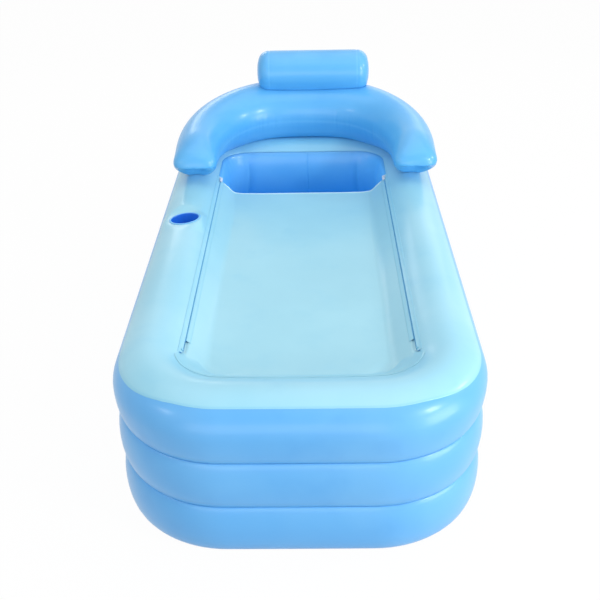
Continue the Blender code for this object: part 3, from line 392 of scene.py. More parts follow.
def settle(obj, kind=None, **settings):
    """Makes a piece's modifiers part of its mesh, after one more of a kind where one is named."""
    if kind:
        modifier = obj.modifiers.new(kind.lower(), kind)
        for key, value in settings.items():
            setattr(modifier, key, value)
    bpy.context.view_layer.update()
    graph = bpy.context.evaluated_depsgraph_get()
    mesh = bpy.data.meshes.new_from_object(obj.evaluated_get(graph))
    obj.modifiers.clear()
    obj.data = mesh
    return obj


def outward(obj):
    """Turns the faces of a closed piece outwards."""
    shape = bmesh.new()
    shape.from_mesh(obj.data)
    if all(edge.is_manifold for edge in shape.edges) and shape.calc_volume(signed=True) < 0:
        bmesh.ops.reverse_faces(shape, faces=shape.faces)
        shape.to_mesh(obj.data)
    shape.free()


def dress(obj, material, body, slot, *nodes):
    """Gives a piece its finish and its body, and hides the CAD nodes that it stands for."""
    outward(obj)
    obj.data.materials.clear()
    obj.data.materials.append(material)
    if nodes:
        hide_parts(*nodes)
    if body is not None:
        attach(obj, body)
    count = sum(len(p.vertices) - 2 for p in obj.data.polygons)
    print(f"{obj.name}: {count} triangles, {[round(v, 3) for v in obj.dimensions]} m")
    return obj


def gathers(length, counts, seed):
    """Uneven pleats along a closed weld, from 0 to 1, as a function of the place along it."""
    chance = np.random.default_rng(seed)
    phases = chance.uniform(0, math.pi, len(counts))
    weights = chance.uniform(0.5, 1.0, len(counts))

    def at(place):
        total = 0
        for count, phase, weight in zip(counts, phases, weights):
            total = total + weight * (1 - np.abs(np.sin(math.pi * count * place / length + phase)))
        return (total / weights.sum()) ** 1.6

    return at


# %% [markdown]
# In plan the wall is a rounded rectangle with a larger turn at the foot, and the opening is
# a smaller one. Each place in between is a share of the way from one to the other, which is
# how the rim's width follows both. The head end has a few closer columns where the film's
# closing weld runs down the wall.

# %% Plan
def straight_shares(count, marks=()):
    """Places of the columns along one straight side, closer together at each mark."""
    shares = list(np.arange(1, count) / count)
    for mark in marks:
        shares += [mark + step for step in (-0.022, -0.011, -0.0045, 0, 0.0045, 0.011, 0.022)]
    return np.array(sorted(shares))


SEAM_SHARE = (0.200 - WALL_SEAM_X) / 0.400
SIDE, HEAD_SIDE, FOOT_SIDE = straight_shares(78), straight_shares(26, [SEAM_SHARE]), straight_shares(24)
STRAIGHTS = (SIDE, HEAD_SIDE, SIDE, FOOT_SIDE)
ARC_STEPS = 22


def rounded(half_width, y_foot, y_head, foot_radius, head_radius):
    """A rounded rectangle's points, anticlockwise from the right end of the foot."""
    places = (
        (half_width - foot_radius, y_foot + foot_radius, foot_radius, -90),
        (half_width - head_radius, y_head - head_radius, head_radius, 0),
        (head_radius - half_width, y_head - head_radius, head_radius, 90),
        (foot_radius - half_width, y_foot + foot_radius, foot_radius, 180),
    )
    arcs = []
    for x, y, radius, start in places:
        angle = np.radians(start + 90 * np.arange(ARC_STEPS + 1) / ARC_STEPS)
        arcs.append(np.stack([x + radius * np.cos(angle), y + radius * np.sin(angle)], 1))
    points = []
    for k, arc in enumerate(arcs):
        after = arcs[(k + 1) % 4][0]
        points.append(arc)
        points.append(arc[-1] + (after - arc[-1]) * STRAIGHTS[k][:, None])
    return np.vstack(points)


OUT = rounded(TUB_WIDTH / 2, -HALF_LENGTH, HALF_LENGTH, FOOT_RADIUS, HEAD_RADIUS)
OPEN = rounded(OPENING_WIDTH / 2, FOOT_RIM - HALF_LENGTH, HALF_LENGTH - HEAD_RIM,
               OPENING_FOOT_RADIUS, OPENING_HEAD_RADIUS)
OPEN[:, 1] += FOOT_BOW * eased(ramp(-OPEN[:, 1], 0.46, 0.12)) * (2 * OPEN[:, 0] / OPENING_WIDTH) ** 2
COLUMNS = len(OUT)
ALONG = lengths(OUT, True)[:COLUMNS]
ROUND = lengths(OUT, True)[-1]
CORNER_TURN = np.sin(np.pi * np.arange(ARC_STEPS + 1) / ARC_STEPS) ** 0.5
CORNER = np.concatenate([part for s in STRAIGHTS for part in (CORNER_TURN, np.zeros(len(s)))])
SIDEWARD = eased(ramp(np.abs(OUT[:, 0]), 0.250, 0.165))
HEADWARD = ramp(OPEN[:, 1], 0.50, 0.06)
CLOSING = near(OUT[:, 0], WALL_SEAM_X, 0.0022) * (OUT[:, 1] > 0.6)


def swept(inset, z, push):
    """Points of a film surface from its section (rows by 1 or by columns), pushed out by push."""
    inset, z, push = (np.broadcast_to(np.asarray(a, float), (len(inset), COLUMNS)) for a in (inset, z, push))
    d_inset, d_z = np.gradient(inset, axis=0), np.gradient(z, axis=0)
    size = np.maximum(np.hypot(d_inset, d_z), 1e-9)
    inset = inset - push * d_z / size
    z = z + push * d_inset / size
    share = inset / SIDE_RIM
    x = OUT[:, 0] + (OPEN[:, 0] - OUT[:, 0]) * share
    y = OUT[:, 1] + (OPEN[:, 1] - OUT[:, 1]) * share + SHIFT
    return np.stack([x, y, z], -1)


print("plan:", COLUMNS, "columns round", round(ROUND, 3), "m")

# %% [markdown]
# A ring is a tube of film, fully swollen, drawn in where it is welded to its neighbours.
# The film puckers next to each weld, most at the corners, where a flat strip has to go
# round, and painted shade deepens its colour in the puckers. The inner crease under the upper
# ring lies lower than the outer one, so that the head wall shows as one round swelling.

# %% Rings
def half_ellipse(base, top, edge, bulge, side, steps=22):
    """A swollen side from base to top, as inset, height and share of the way up."""
    angle = np.radians(np.linspace(-90, 90, steps + 1))
    half = (top - base) / 2
    inset = edge + side * bulge * (1 - np.cos(angle) ** 1.25)
    columns = inset, base + half + half * np.sin(angle), np.linspace(0, 1, steps + 1)
    return tuple(column[:, None] for column in columns)


def pleated(share, seed, straight, corner, reach=0.16, side=1):
    """How far the film is drawn in next to its welds, and the painted shade in its pleats."""
    fine = gathers(ROUND, (97, 131, 163, 211), seed)(ALONG)
    depth = straight + (corner - straight) * CORNER
    low = np.exp(-share / reach) * fine
    high = np.exp(-(1 - share) / reach) * np.roll(fine, 7)
    amount = (low + high) * np.sin(np.pi * np.clip(share, 0.02, 0.98)) ** 0.35
    return -amount * depth, np.clip(amount * depth / 0.003, 0, 1)


def wall_weld(share, share_in, between):
    """The weld number of a ring's outer side, of what lies between, and of its inner side."""
    sides = [np.exp(-s / 0.012) + np.exp(-(1 - s) / 0.012) for s in (share, share_in)]
    outer_weld, inner_weld = (np.maximum(rows, CLOSING) for rows in sides)
    return np.vstack([outer_weld, np.zeros((between, COLUMNS)), inner_weld[::-1]])


def closed_ring(name, base, height, drop, seed):
    """A ring's film, whose inner side ends lower than the outer one by drop."""
    inset, z, share = half_ellipse(base, base + height - GAP, 0, OUTER_BULGE, 1)
    push, pleat_shade = pleated(share, seed, 0.0007, 0.0020)
    top_in, edge_in = base + height - drop - GAP, SIDE_RIM + INNER_BULGE
    inset_in, z_in, share_in = half_ellipse(base, top_in, edge_in, INNER_BULGE, -1)
    push_in, pleat_shade_in = pleated(share_in, seed + 5, 0.0010, 0.0030)
    seam = -0.0009 * CLOSING
    outer = swept(inset, z, push + seam * np.sin(np.pi * share) ** 0.3)
    inner = swept(inset_in[::-1], z_in[::-1], push_in[::-1] + seam)
    points, pleat_shade = np.concatenate([outer, inner]), np.concatenate([pleat_shade, pleat_shade_in[::-1]])
    return surface(name, points, True, True, wall_weld(share, share_in, 0), pleat_shade)


lower = closed_ring("lower_ring_film", LOWER_BASE, LOWER_HEIGHT, 0, 11)
middle = closed_ring("middle_ring_film", MIDDLE_BASE, MIDDLE_HEIGHT, INNER_DROP, 23)
dress(lower, RING_FILM, "tub", "film_blue", "lower_ring")
dress(middle, RING_FILM, "tub", "film_blue", "middle_ring")

# %% [markdown]
# The upper ring is the one that shows most. Its outer side is swollen below and rounds over
# to the colour seam, and its inner side turns upright under the zips. At the head wall two
# folds run down beside the corners. Its film goes on below the rim's panel, and lies lower
# round the cup holder.

# %% Upper ring
SHOULDER_END = 62
SHOULDER_LOW = UPPER_BASE + (UPPER_HEIGHT - GAP) / 2
SHOULDER_WIDTH = SEAM_INSET / (1 - math.cos(math.radians(SHOULDER_END)))
SHOULDER_HEIGHT = (SEAM_Z - GAP - SHOULDER_LOW) / math.sin(math.radians(SHOULDER_END))


def shoulder():
    """Outer side of the upper ring: swollen below, and rounded over to the seam above."""
    side = half_ellipse(UPPER_BASE, UPPER_BASE + UPPER_HEIGHT - GAP, 0, OUTER_BULGE, 1, 24)
    foot, low = side[0][:13], side[1][:13]
    angle = np.radians(np.linspace(0, SHOULDER_END, 19))[1:, None]
    inset = np.vstack([foot, SHOULDER_WIDTH * (1 - np.cos(angle))])
    z = np.vstack([low, low[-1] + SHOULDER_HEIGHT * np.sin(angle)])
    return inset, z, np.linspace(0, 1, len(inset))[:, None]


def lip():
    """Inner side of the upper ring. It turns upright under the zips, and less at the head wall."""
    turn_up = LIP_TURN + (0.003 - LIP_TURN) * HEADWARD
    angle = np.radians(np.linspace(-90, 90, 27))[:, None]
    base, top = UPPER_BASE - INNER_DROP, panel_z(SIDE_RIM) - turn_up
    bulge = INNER_BULGE + 0.006 * HEADWARD * np.cos(angle) ** 2
    inset = SIDE_RIM + bulge * np.cos(angle)
    z = base + (top - base) * (np.sin(angle) + 1) / 2
    return inset, z, np.linspace(0, 1, 27)[:, None]


inset, z, share = shoulder()
push, pleat_shade = pleated(share, 37, 0.0007, 0.0018, 0.12)
outer = swept(inset, z, push - 0.0009 * CLOSING * np.sin(np.pi * share) ** 0.3)
inset_in, z_in, share_in = lip()
push_in, pleat_shade_in = pleated(share_in, 41, 0.0012, 0.0050, 0.22)
fold = near(np.abs(OPEN[:, 0]), 0.192 - 0.018 * share_in, 0.0050) * (OPEN[:, 1] > 0.60)
fold = fold * np.sin(np.pi * share_in) ** 0.5
# The head wall's two folds also get painted shade in the film's colour
push_in, pleat_shade_in = push_in - 0.0080 * fold, np.clip(pleat_shade_in + 2.4 * fold, 0, 1)
inner = swept(inset_in[::-1], z_in[::-1], (push_in - 0.0011 * CLOSING)[::-1])
UNDER_ROWS, UNDER_CLEAR, CUP_HOLLOW, HOLLOW_WIDTH = 14, 0.0016, 0.021, 0.06
crown = np.linspace(SEAM_INSET + 0.004, SIDE_RIM - 0.002, UNDER_ROWS)[:, None]
under = swept(crown, panel_z(crown) - UNDER_CLEAR, 0.0)
under[..., 2] -= CUP_HOLLOW * near(np.hypot(under[..., 0] - CUP_X, under[..., 1] - CUP_Y), 0, HOLLOW_WIDTH)
weld = wall_weld(share, share_in, UNDER_ROWS)
pleat_shade = np.concatenate([pleat_shade, np.zeros((UNDER_ROWS, COLUMNS)), pleat_shade_in[::-1]])
upper = surface("upper_ring_film", np.concatenate([outer, under, inner]), True, True, weld, pleat_shade)
dress(upper, RING_FILM, "tub", "film_blue", "upper_ring")

# %% [markdown]
# The rim's panel is one ring of aqua film. Its outer edge laps the blue shoulder by 4 mm in
# a flat heat seal, which gives the crisp colour line round the tub, and its inner edge ends
# at the opening. The cup holder's hole is punched in it: the faces inside the hole's circle
# are taken out, and the points left round it are drawn onto the circle, under the holder's
# lip. The blue film below it is a closed skin, so there a Boolean cuts the same hole.

# %% Rim panel
PANEL_EDGE, PANEL_EDGE_DROP, PANEL_LAP, PANEL_CLEAR = 0.0318, 0.0140, 0.0006, 0.0003


def rim_section():
    """The panel's section, whose outer edge lies lower down the shoulder along the sides."""
    edge = PANEL_EDGE - PANEL_EDGE_DROP * SIDEWARD
    inset = np.array([edge + (SEAM_INSET - edge) * s for s in (-0.05, 0.0, 0.2, 0.4, 0.6, 0.8)])
    across = np.concatenate([np.linspace(SEAM_INSET, 0.044, 6), np.linspace(0.049, 0.140, 22),
                             np.linspace(0.1425, SIDE_RIM, 4), [SIDE_RIM]])
    inset = np.vstack([inset, across[:, None] * np.ones((1, COLUMNS))])
    angle = np.arccos(1 - np.clip(inset, 0, SEAM_INSET) / SHOULDER_WIDTH)
    rounded_z = SHOULDER_LOW + SHOULDER_HEIGHT * np.sin(angle) + PANEL_LAP
    z = np.where(inset < SEAM_INSET, rounded_z, panel_z(np.maximum(inset, SEAM_INSET)) + PANEL_CLEAR)
    z[0] -= 0.0010
    z[-1] -= 0.0012
    return inset, z


CUP_LEVEL, CUP_SLOPE, CUP_DIP = panel_z(TUB_WIDTH / 2 + CUP_X) - 0.0058, 0.100, -0.070


def cup_plane(x, y):
    """Height of the cup holder's tilted lip."""
    return CUP_LEVEL + CUP_SLOPE * (x - CUP_X) + CUP_DIP * (y - CUP_Y)


LIP_SEAT, PUNCH_REACH = 0.047, 0.012


def lip_seat(points):
    """Draws the film flat round the cup holder, whose stiff lip stays in one plane."""
    x, y, z = points[..., 0], points[..., 1], points[..., 2]
    away = ramp(np.hypot(x - CUP_X, y - CUP_Y), LIP_SEAT, 0.030)
    away = eased(np.maximum(away, ramp(x - CUP_X, LIP_SEAT - 0.0005, 0.014)))
    plane = cup_plane(x, y)
    points[..., 2] = plane + (z - plane) * away
    return points


inset, z = rim_section()
share = (inset - inset[0]) / (inset[-1] - inset[0])
push, pleat_shade = pleated(share, 53, 0.0006, 0.0014, 0.10)
push = push * ((inset > 0.033) & (inset < SIDE_RIM - 0.001))
weld = np.maximum(near(inset, inset[0] + 0.0018, 0.0022), 0.8 * near(inset, SIDE_RIM, 0.0022))
top = lip_seat(swept(inset, z, push))
rim = surface("rim_panel_film", top, False, True, weld, pleat_shade)
rim_faces = grid_faces(*top.shape[:2], False, True)[0]
RIM_TREE = BVHTree.FromPolygons(top.reshape(-1, 3).tolist(), rim_faces.tolist())
dress(rim, PANEL_FILM, "tub", "film_aqua", "top_panel")

# %% [markdown]
# The holder's hole goes through both films. In the open panel it is punched: the faces
# inside its circle are taken out, and their border is drawn onto the circle and the lip's
# plane. The blue film below is a closed skin, so a Boolean with a round rod cuts it.

# %% Cup hole
def cutter(name, radius, low, high, sides=64):
    """A round rod on the cup holder's axis."""
    x, y = CUP_X + radius * np.cos(circle(sides)), CUP_Y + radius * np.sin(circle(sides))
    rows = [np.stack([x, y, np.full(sides, height)], 1) for height in (low, high)]
    return surface(name, np.array(rows), False, True, caps=True)


def punch(obj, radius):
    """Takes the faces inside the cup holder's circle out, and draws their border onto it."""
    shape = bmesh.new()
    shape.from_mesh(obj.data)
    centre = Vector((CUP_X, CUP_Y))
    far = {face: (face.calc_center_median().xy - centre).length for face in shape.faces}
    inside = [face for face in shape.faces if far[face] < radius - 0.002]
    bmesh.ops.delete(shape, geom=inside, context="FACES")
    for vertex in shape.verts:
        away = vertex.co.xy - centre
        if vertex.is_boundary and away.length < radius + PUNCH_REACH:
            vertex.co.xy = centre + away.normalized() * radius
            vertex.co.z = cup_plane(vertex.co.x, vertex.co.y)
    shape.to_mesh(obj.data)
    shape.free()


punch(rim, CUP_RADIUS + CUP_WALL + 0.0020)
hole = cutter("cup_hole", CUP_RADIUS + CUP_WALL + GAP, 0.26, 0.45)
outward(upper)
outward(hole)
settle(upper, "BOOLEAN", operation="DIFFERENCE", object=hole, solver="EXACT")
bpy.data.objects.remove(hole, do_unlink=True)
print("cup hole: faces left in the panel", len(rim.data.polygons), "and in the ring", len(upper.data.polygons))

# %% [markdown]
# The cup holder is a moulded pocket in deep blue. Its thin lip is welded on the sloping
# panel and draws it flat, and its wall goes down into the ring. It is turned here as one
# profile, whose upper end leans with the lip.

# %% Cup holder
def cup():
    """The pocket turned about its axis. Its first five rows are the paler lip."""
    r = CUP_RADIUS
    profile = [
        (r + 0.0064, 0.0002), (r + 0.0065, 0.0009), (r + 0.0058, 0.0015), (r + 0.0030, 0.0016),
        (r + 0.0012, 0.0015), (r + 0.0004, 0.0006), (r, -0.0010), (r - 0.0002, -0.012),
        (r - 0.0006, -0.045), (r - 0.0012, -0.078), (r - 0.0022, -0.086), (r - 0.0060, -0.0915),
        (r - 0.0120, -0.0930), (0.012, -0.0932), (0.0, -0.0932), (0.0, -0.0948), (r - 0.012, -0.0948),
        (r - 0.0036, -0.0930), (r + 0.0002, -0.086), (r + 0.0012, -0.045), (r + 0.0015, -0.002),
    ]
    angle = circle(72)
    rows = []
    for radius, height in profile:
        x, y = CUP_X + radius * np.cos(angle), CUP_Y + radius * np.sin(angle)
        lean = np.clip(1 + height / 0.02, 0, 1)
        z = CUP_LEVEL + 0.0003 + height + (cup_plane(x, y) - CUP_LEVEL) * lean
        rows.append(np.stack([x, y, z], 1))
    weld = np.zeros((len(profile), 1))
    weld[0:5] = 1.0
    return surface("cup_pocket", np.array(rows), True, True, weld)


dress(cup(), CUP_BLUE, "tub", "cup_blue", "cup_holder")

# %% [markdown]
# The backrest is a horseshoe tube, 206 mm thick at the back and 134 mm at its blunt tips,
# pressed down where it lies on the rim. It is made of an upper and a lower film. The weld
# between them runs round it just below its middle and across each tip, whose lower film
# goes back under. The tube is lofted along its centre line, and a ray down from each low
# point finds the rim's panel, on which the underside rests.

# %% Backrest
HALF_SPAN, BACK_Y, ARC_Y, TIP_Y = 0.340, 0.812, 0.450, 0.385
UNDERCUT, UNDERCUT_REACH, UNDERCUT_GROWTH = 0.070, 0.240, 1.1
SEAM_HEIGHT, TIP_SLOPE, TIP_BELLY = -0.10, 0.125, 0.046
BACK_RADIUS, TIP_RADIUS, BACK_SQUASH, TIP_SQUASH = 0.103, 0.067, 0.024, 0.008
SEAT_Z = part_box("backrest_tube")[0][2]
BACK_OFFSET, ARC_POWER, TIP_LENGTH, SEAT_CLEAR = 0.010, 2 / 2.35, 0.046, 0.0006


def backrest_line(count):
    """The tube's centre line, its radius and how far along each point lies."""
    angle = np.linspace(math.pi, 0, 900)
    x = HALF_SPAN * np.sign(np.cos(angle)) * np.abs(np.cos(angle)) ** ARC_POWER
    y = ARC_Y + (BACK_Y - ARC_Y) * np.abs(np.sin(angle)) ** ARC_POWER
    x, y = np.concatenate([[x[0]], x, [x[-1]]]), np.concatenate([[TIP_Y], y, [TIP_Y]])
    far = lengths(np.stack([x, y], 1), False)
    places = np.linspace(0, far[-1], count)
    x, y = np.interp(places, far, x), np.interp(places, far, y)
    share = (y - TIP_Y) / (BACK_Y - TIP_Y)
    radius = TIP_RADIUS + (BACK_RADIUS - TIP_RADIUS) * share ** 1.5
    z = SEAT_Z + radius - (TIP_SQUASH + (BACK_SQUASH - TIP_SQUASH) * share)
    return np.stack([x + BACK_OFFSET, y + SHIFT, z], 1), radius, places


def smooth_floor(z, floor, blend):
    """The greater of z and floor, with a soft turn between them."""
    gap = np.clip(0.5 + (z - floor) / (2 * blend), 0, 1)
    return floor + (z - floor) * gap + blend * gap * (1 - gap)


def rim_height(x, y, missing):
    """Height of the rim's panel below a place, or a given height beside the rim."""
    hit = RIM_TREE.ray_cast(Vector((x, y, 1)), Vector((0, 0, -1)))[0]
    return missing if hit is None else hit.z


def rounded_end(inside, length):
    """How much of a section's height is left near a tip."""
    return max(1 - max(1 - inside / length, 0) ** 2, 0.0005) ** 0.5


def backrest_sections():
    """Each section's middle, direction, size, radius, bend and place, from tip to tip."""
    centre, radius, places = backrest_line(150)
    along = np.gradient(centre, axis=0)
    along[:, 2] = 0
    along /= np.linalg.norm(along, axis=1)[:, None]
    bend = np.abs(np.gradient(np.unwrap(np.arctan2(along[:, 1], along[:, 0])), places))
    sines = np.sin(np.radians(np.linspace(0, 90, 30)))[1:-1]
    tips = [(TIP_LENGTH * sine, max(1 - sine ** 3, 0) ** (1 / 3)) for sine in sines] + [(TIP_LENGTH, 0.04)]
    rows = []
    for forward, size in reversed(tips):
        rows.append((centre[0] - along[0] * forward, along[0], size, radius[0], 0, -forward))
    for k in range(len(centre)):
        rows.append((centre[k], along[k], 1, radius[k], bend[k], places[k]))
    for forward, size in tips:
        rows.append((centre[-1] + along[-1] * forward, along[-1], size, radius[-1], 0, places[-1] + forward))
    return rows, places[-1]


def backrest():
    """The tube round its sections, with its weld, the pleats beside it and its seat on the rim."""
    rows, length = backrest_sections()
    angle = circle(80, 0.5)
    pleat = gathers(length, (37, 53, 71, 89), 61)
    first, last = rows[0][5], rows[-1][5]
    points, welds, pleat_shade = [], [], []
    for middle_point, way, size, full, curve, place_along in rows:
        side = np.array([way[1], -way[0], 0])
        inside = min(place_along - first, last - place_along)
        rise, sink = rounded_end(inside, TIP_SLOPE), rounded_end(inside, TIP_BELLY)
        height = np.sin(angle) - SEAM_HEIGHT
        seam = near(height, 0, 0.030)
        pinch = near(height, 0, 0.30)
        fold = pinch * pleat(place_along) * min(curve / 4.0, 1)
        grown = full - 0.0012 * seam - 0.0036 * fold
        ring = middle_point + side * (size * grown * np.cos(angle))[:, None]
        ring[:, 2] += grown * (SEAM_HEIGHT + height * np.where(height > 0, rise, sink))
        pull = UNDERCUT * max(1 - inside / UNDERCUT_REACH, 0) ** 2 * (1 if place_along < last / 2 else -1)
        ring += way * (pull * UNDERCUT_GROWTH * np.clip(-height, 0, 1) ** 1.3)[:, None]
        for point in ring:
            if point[2] < SEAT_Z + 0.02:
                floor = rim_height(point[0], point[1], SEAT_Z) + SEAT_CLEAR
                point[2] = smooth_floor(point[2], floor, 0.003)
        points.append(ring)
        welds.append(np.clip(seam, 0, 1))
        # Painted shade in the pleats beside the weld, on the tube's bends
        pleat_shade.append(np.clip(fold * 0.8, 0, 1))
    points, welds, pleat_shade = (np.array(rows)[::-1] for rows in (points, welds, pleat_shade))
    return surface("backrest_film", points, False, True, welds, pleat_shade, caps=True)


rest = dress(backrest(), HEAD_FILM, "tub", "film_blue", "backrest_tube")

# %% [markdown]
# The pillow is a short tube, 138 mm thick, with a disc welded into each end. Its underside
# takes the backrest's shape where the two are welded together. It is turned about its own
# length, and points that would lie in the backrest are pushed out of it.

# %% Pillow
def pillow():
    """Sections along its length: even, a welded edge at each end, and the end's round disc."""
    centre = np.array([0.038, BACK_Y - 0.015 + SHIFT, SEAT_Z + BACK_RADIUS - BACK_SQUASH + 0.137])
    radius, straight, disc = 0.069, 0.147, 0.038
    half = [(x, 1.0) for x in np.linspace(0, straight - 0.006, 22)]
    for step, size in ((-0.004, 1.0), (-0.002, 0.997), (0, 0.986), (0.002, 0.990)):
        half.append((straight + step, size))
    for a in np.radians(np.linspace(8, 90, 16)):
        half.append((straight + disc * math.sin(a), 0.50 + 0.50 * math.cos(a)))
    for a in np.radians(np.linspace(0, 90, 10))[1:]:
        half.append((straight + disc + 0.004 * math.sin(a), 0.50 * math.cos(a)))
    rows = [(-x, r) for x, r in reversed(half[1:])] + half
    sides = 64
    angle = circle(sides, 0.5)
    wrinkle = gathers(2 * math.pi, (9, 14, 19, 26), 71)(angle)
    points, welds, pleat_shade = [], [], []
    for x, share in rows:
        seam = near(abs(x), straight, 0.0022)
        close = np.exp(-abs(abs(x) - straight) / 0.012)
        size = radius * share - 0.0016 * wrinkle * close * (abs(x) < straight + 0.02)
        y, z = centre[1] + size * np.cos(angle), centre[2] + size * np.sin(angle)
        points.append(np.stack([np.full(sides, centre[0] + x), y, z], 1))
        welds.append(np.full(sides, seam))
        # Painted shade in the puckers beside the end discs' welds
        pleat_shade.append(wrinkle * close * 0.5)
    points = np.array(points)
    line, thick, _ = backrest_line(400)
    flat = points.reshape(-1, 3)
    away = flat[:, None, :] - line[None]
    distance = np.linalg.norm(away, axis=2)
    spare = distance - thick
    best = spare.argmin(1)
    pick = np.arange(len(flat))
    short = np.clip(0.0007 - spare[pick, best], 0, None)
    flat += away[pick, best] / distance[pick, best][:, None] * short[:, None]
    points, welds, pleat_shade = flat.reshape(points.shape), np.array(welds), np.array(pleat_shade)
    return surface("pillow_film", points, False, True, welds, pleat_shade, caps=True)


head = dress(pillow(), HEAD_FILM, "tub", "film_blue", "head_pillow")

# %% [markdown]
# The cover is one sheet of aqua film. It slopes down from the zips and from the weld round
# the foot, turns at a soft fold, and hangs as a shallow tray, with a hem along its free
# edge. It is one continuous mesh from both zips to the foot.

# %% Cover profile
# Steps up the zip's slope and drops below it, past the zip, and steps and rises on the panel
PAST_ZIP = ((0.0066, 0.0036), (0.0050, 0.0036), (0.0033, 0.0034), (0.0017, 0.0022))
FOOT_LAP = ((0.0110, 0.0011), (0.0105, 0.0014), (0.0050, 0.0014), (0.0006, 0.0014))
HEM_STEPS = (0, 0.002, 0.007, 0.0125, 0.0145, 0.0165, 0.0185, 0.024)
SIDE_YS = np.concatenate([ZIP_HEAD_Y - np.array(HEM_STEPS), np.linspace(ZIP_HEAD_Y - 0.034, -0.524, 74)])
ACROSS = 44


def cover_profile():
    """The cover across its edge as (inset, height), from the zip down to the flat part.

    Past the zip's closed part it dips under the sliders' way, and round the foot its first
    rows lie on the rim's panel instead, where the cover is welded.
    """
    run, rise = math.cos(ZIP_TILT), -math.sin(ZIP_TILT)
    edge = np.array([TUB_WIDTH / 2 - ZIP_X + run * ZIP_LEAD, ZIP_Z + rise * ZIP_LEAD])
    way, below = np.array([run, rise]), np.array([rise, -run])
    edge += below * ZIP_RISE
    fold = edge + way * COVER_BAND * 0.8
    flat_start = np.array([fold[0] + COVER_BEND, fold[1] - COVER_BEND * math.sin(ZIP_TILT) / 2])
    slope = [edge + (fold - edge) * s for s in np.linspace(0, 0.78, 9)]
    start, end = slope[-1], flat_start + np.array([0.004, 0])
    corner = np.array([start[0] + (start[1] - end[1]) * run / -rise, end[1]])
    for t in np.linspace(0, 1, 9)[1:]:
        slope.append((1 - t) ** 2 * start + 2 * t * (1 - t) * corner + t * t * end)
    narrow = [edge - way * step for step in (0.0012, 0.0009, 0.0006, 0.0003)]
    wide = [edge - way * step + below * drop for step, drop in PAST_ZIP]
    lap = [(SIDE_RIM - step, panel_z(SIDE_RIM - step) + rise_by) for step, rise_by in FOOT_LAP]
    return tuple(np.array(first_rows + slope) for first_rows in (narrow, wide, lap))


def cover_loop(inset, z):
    """A row of the cover from the right side's head end round the foot to the left side's."""
    share = inset / SIDE_RIM
    loop = OUT + (OPEN - OUT) * share
    right_arc = loop[: ARC_STEPS + 1][::-1]
    side = np.stack([np.full(len(SIDE_YS), right_arc[0][0]), SIDE_YS], 1)
    right = np.vstack([side, right_arc])
    left = right * np.array([-1, 1])
    half_width, end_y = right[-1]
    steps = np.linspace(1, -1, ACROSS + 1)[1:-1]
    sag = FOOT_BOW * ((2 * half_width * steps / OPENING_WIDTH) ** 2 - (2 * half_width / OPENING_WIDTH) ** 2)
    foot = np.stack([half_width * steps, end_y + sag], 1)
    row = np.vstack([right, foot, left[::-1]])
    return np.column_stack([row, np.full(len(row), z)])


print("cover profile:", [len(rows) for rows in cover_profile()], "rows,", len(SIDE_YS), "places along a side")

# %% [markdown]
# The band beside the zips and the flat part are joined in one mesh. The band's upper rows
# pass from the zip to the dip beside its foot end, and from there onto the panel, where the
# cover is welded. Then the flat part sags a little, the film gets soft waves, and its free
# edge is pulled straight and steeper at its corners, as in the photograph.

# %% Cover sheet
DIP_FROM, DIP_LENGTH, LAP_FROM, LAP_LENGTH = 0.474, 0.010, 0.528, 0.026


def panel_grid(edge_row, half):
    """Rows straight across between the flat's right and left edges, over the sides and corners."""
    steps = np.linspace(1, -1, ACROSS + 1)[1:-1]
    return np.array([np.stack([x * steps, y + 0 * steps, z + 0 * steps], 1) for x, y, z in edge_row[:half]])


def cover():
    """Points and faces of the sheet before it sags, its profile and where it is sealed."""
    profiles = cover_profile()
    at_zip, past_zip, at_foot = (np.array([cover_loop(i, z) for i, z in rows]) for rows in profiles)
    past = ramp(-at_zip[:, :, 1], DIP_FROM, DIP_LENGTH)
    turn = ramp(-at_zip[:, :, 1], LAP_FROM, LAP_LENGTH)
    band = at_zip + (past_zip - at_zip) * past[..., None]
    band += (at_foot - band) * eased(turn)[..., None]
    half = len(SIDE_YS) + ARC_STEPS
    inner = panel_grid(band[-1], half)
    count = band.shape[1]
    faces = [tuple(f[::-1]) for f in grid_faces(*band.shape[:2])[0]]
    first = band.shape[0] * count
    wide = ACROSS - 1
    base = (band.shape[0] - 1) * count

    def index(i, j):
        if j == 0:
            return base + i
        if j == ACROSS:
            return base + count - 1 - i
        return base + half + j if i == half else first + i * wide + j - 1

    for i in range(half):
        for j in range(ACROSS):
            faces.append((index(i, j), index(i, j + 1), index(i + 1, j + 1), index(i + 1, j)))
    points = np.vstack([band.reshape(-1, 3), inner.reshape(-1, 3)])
    sealed = np.zeros(len(points))
    sealed[: 4 * count] = (turn[:4] * np.array([[0.1], [0.35], [0.35], [0.2]])).ravel()
    return points, faces, profiles[0], sealed


def cover_shape(points, profile):
    """Lets the flat part sag and the film run in soft waves, as a loose sheet does."""
    x, y, z = points.T.copy()
    flat_z = profile[-1][1]
    half_width = TUB_WIDTH / 2 - profile[-1][0]
    is_flat = np.abs(z - flat_z) < 1e-4
    headward = ramp(y, 0.20, ZIP_HEAD_Y - 0.20) ** 2
    low = np.clip(1 - np.abs(x / half_width) ** (2 + 6 * headward), 0, 1) * is_flat
    steep = headward * near(np.abs(x), half_width + 0.004, 0.030)
    down = 1 - (1 - ramp(y, y[is_flat].min(), 0.20)) ** 3
    free = ramp(profile[0][1] - z, 0, 0.030)
    waves = 0.0010 * np.sin(9.0 * y + 5.0 * x + 1.0) + 0.0007 * np.sin(17.0 * y - 11.0 * x + 0.4)
    corner = near(y, -0.575, 0.05) * near(np.abs(x), 0.215, 0.05)
    creases = 0.0014 * corner * np.sin(150 * (np.abs(x) - 0.8 * y))
    z = z - COVER_SAG * low * down + (waves + creases) * free
    return np.stack([x + 0.008 * steep * np.sign(x), y + SHIFT, z - 0.004 * steep], 1)


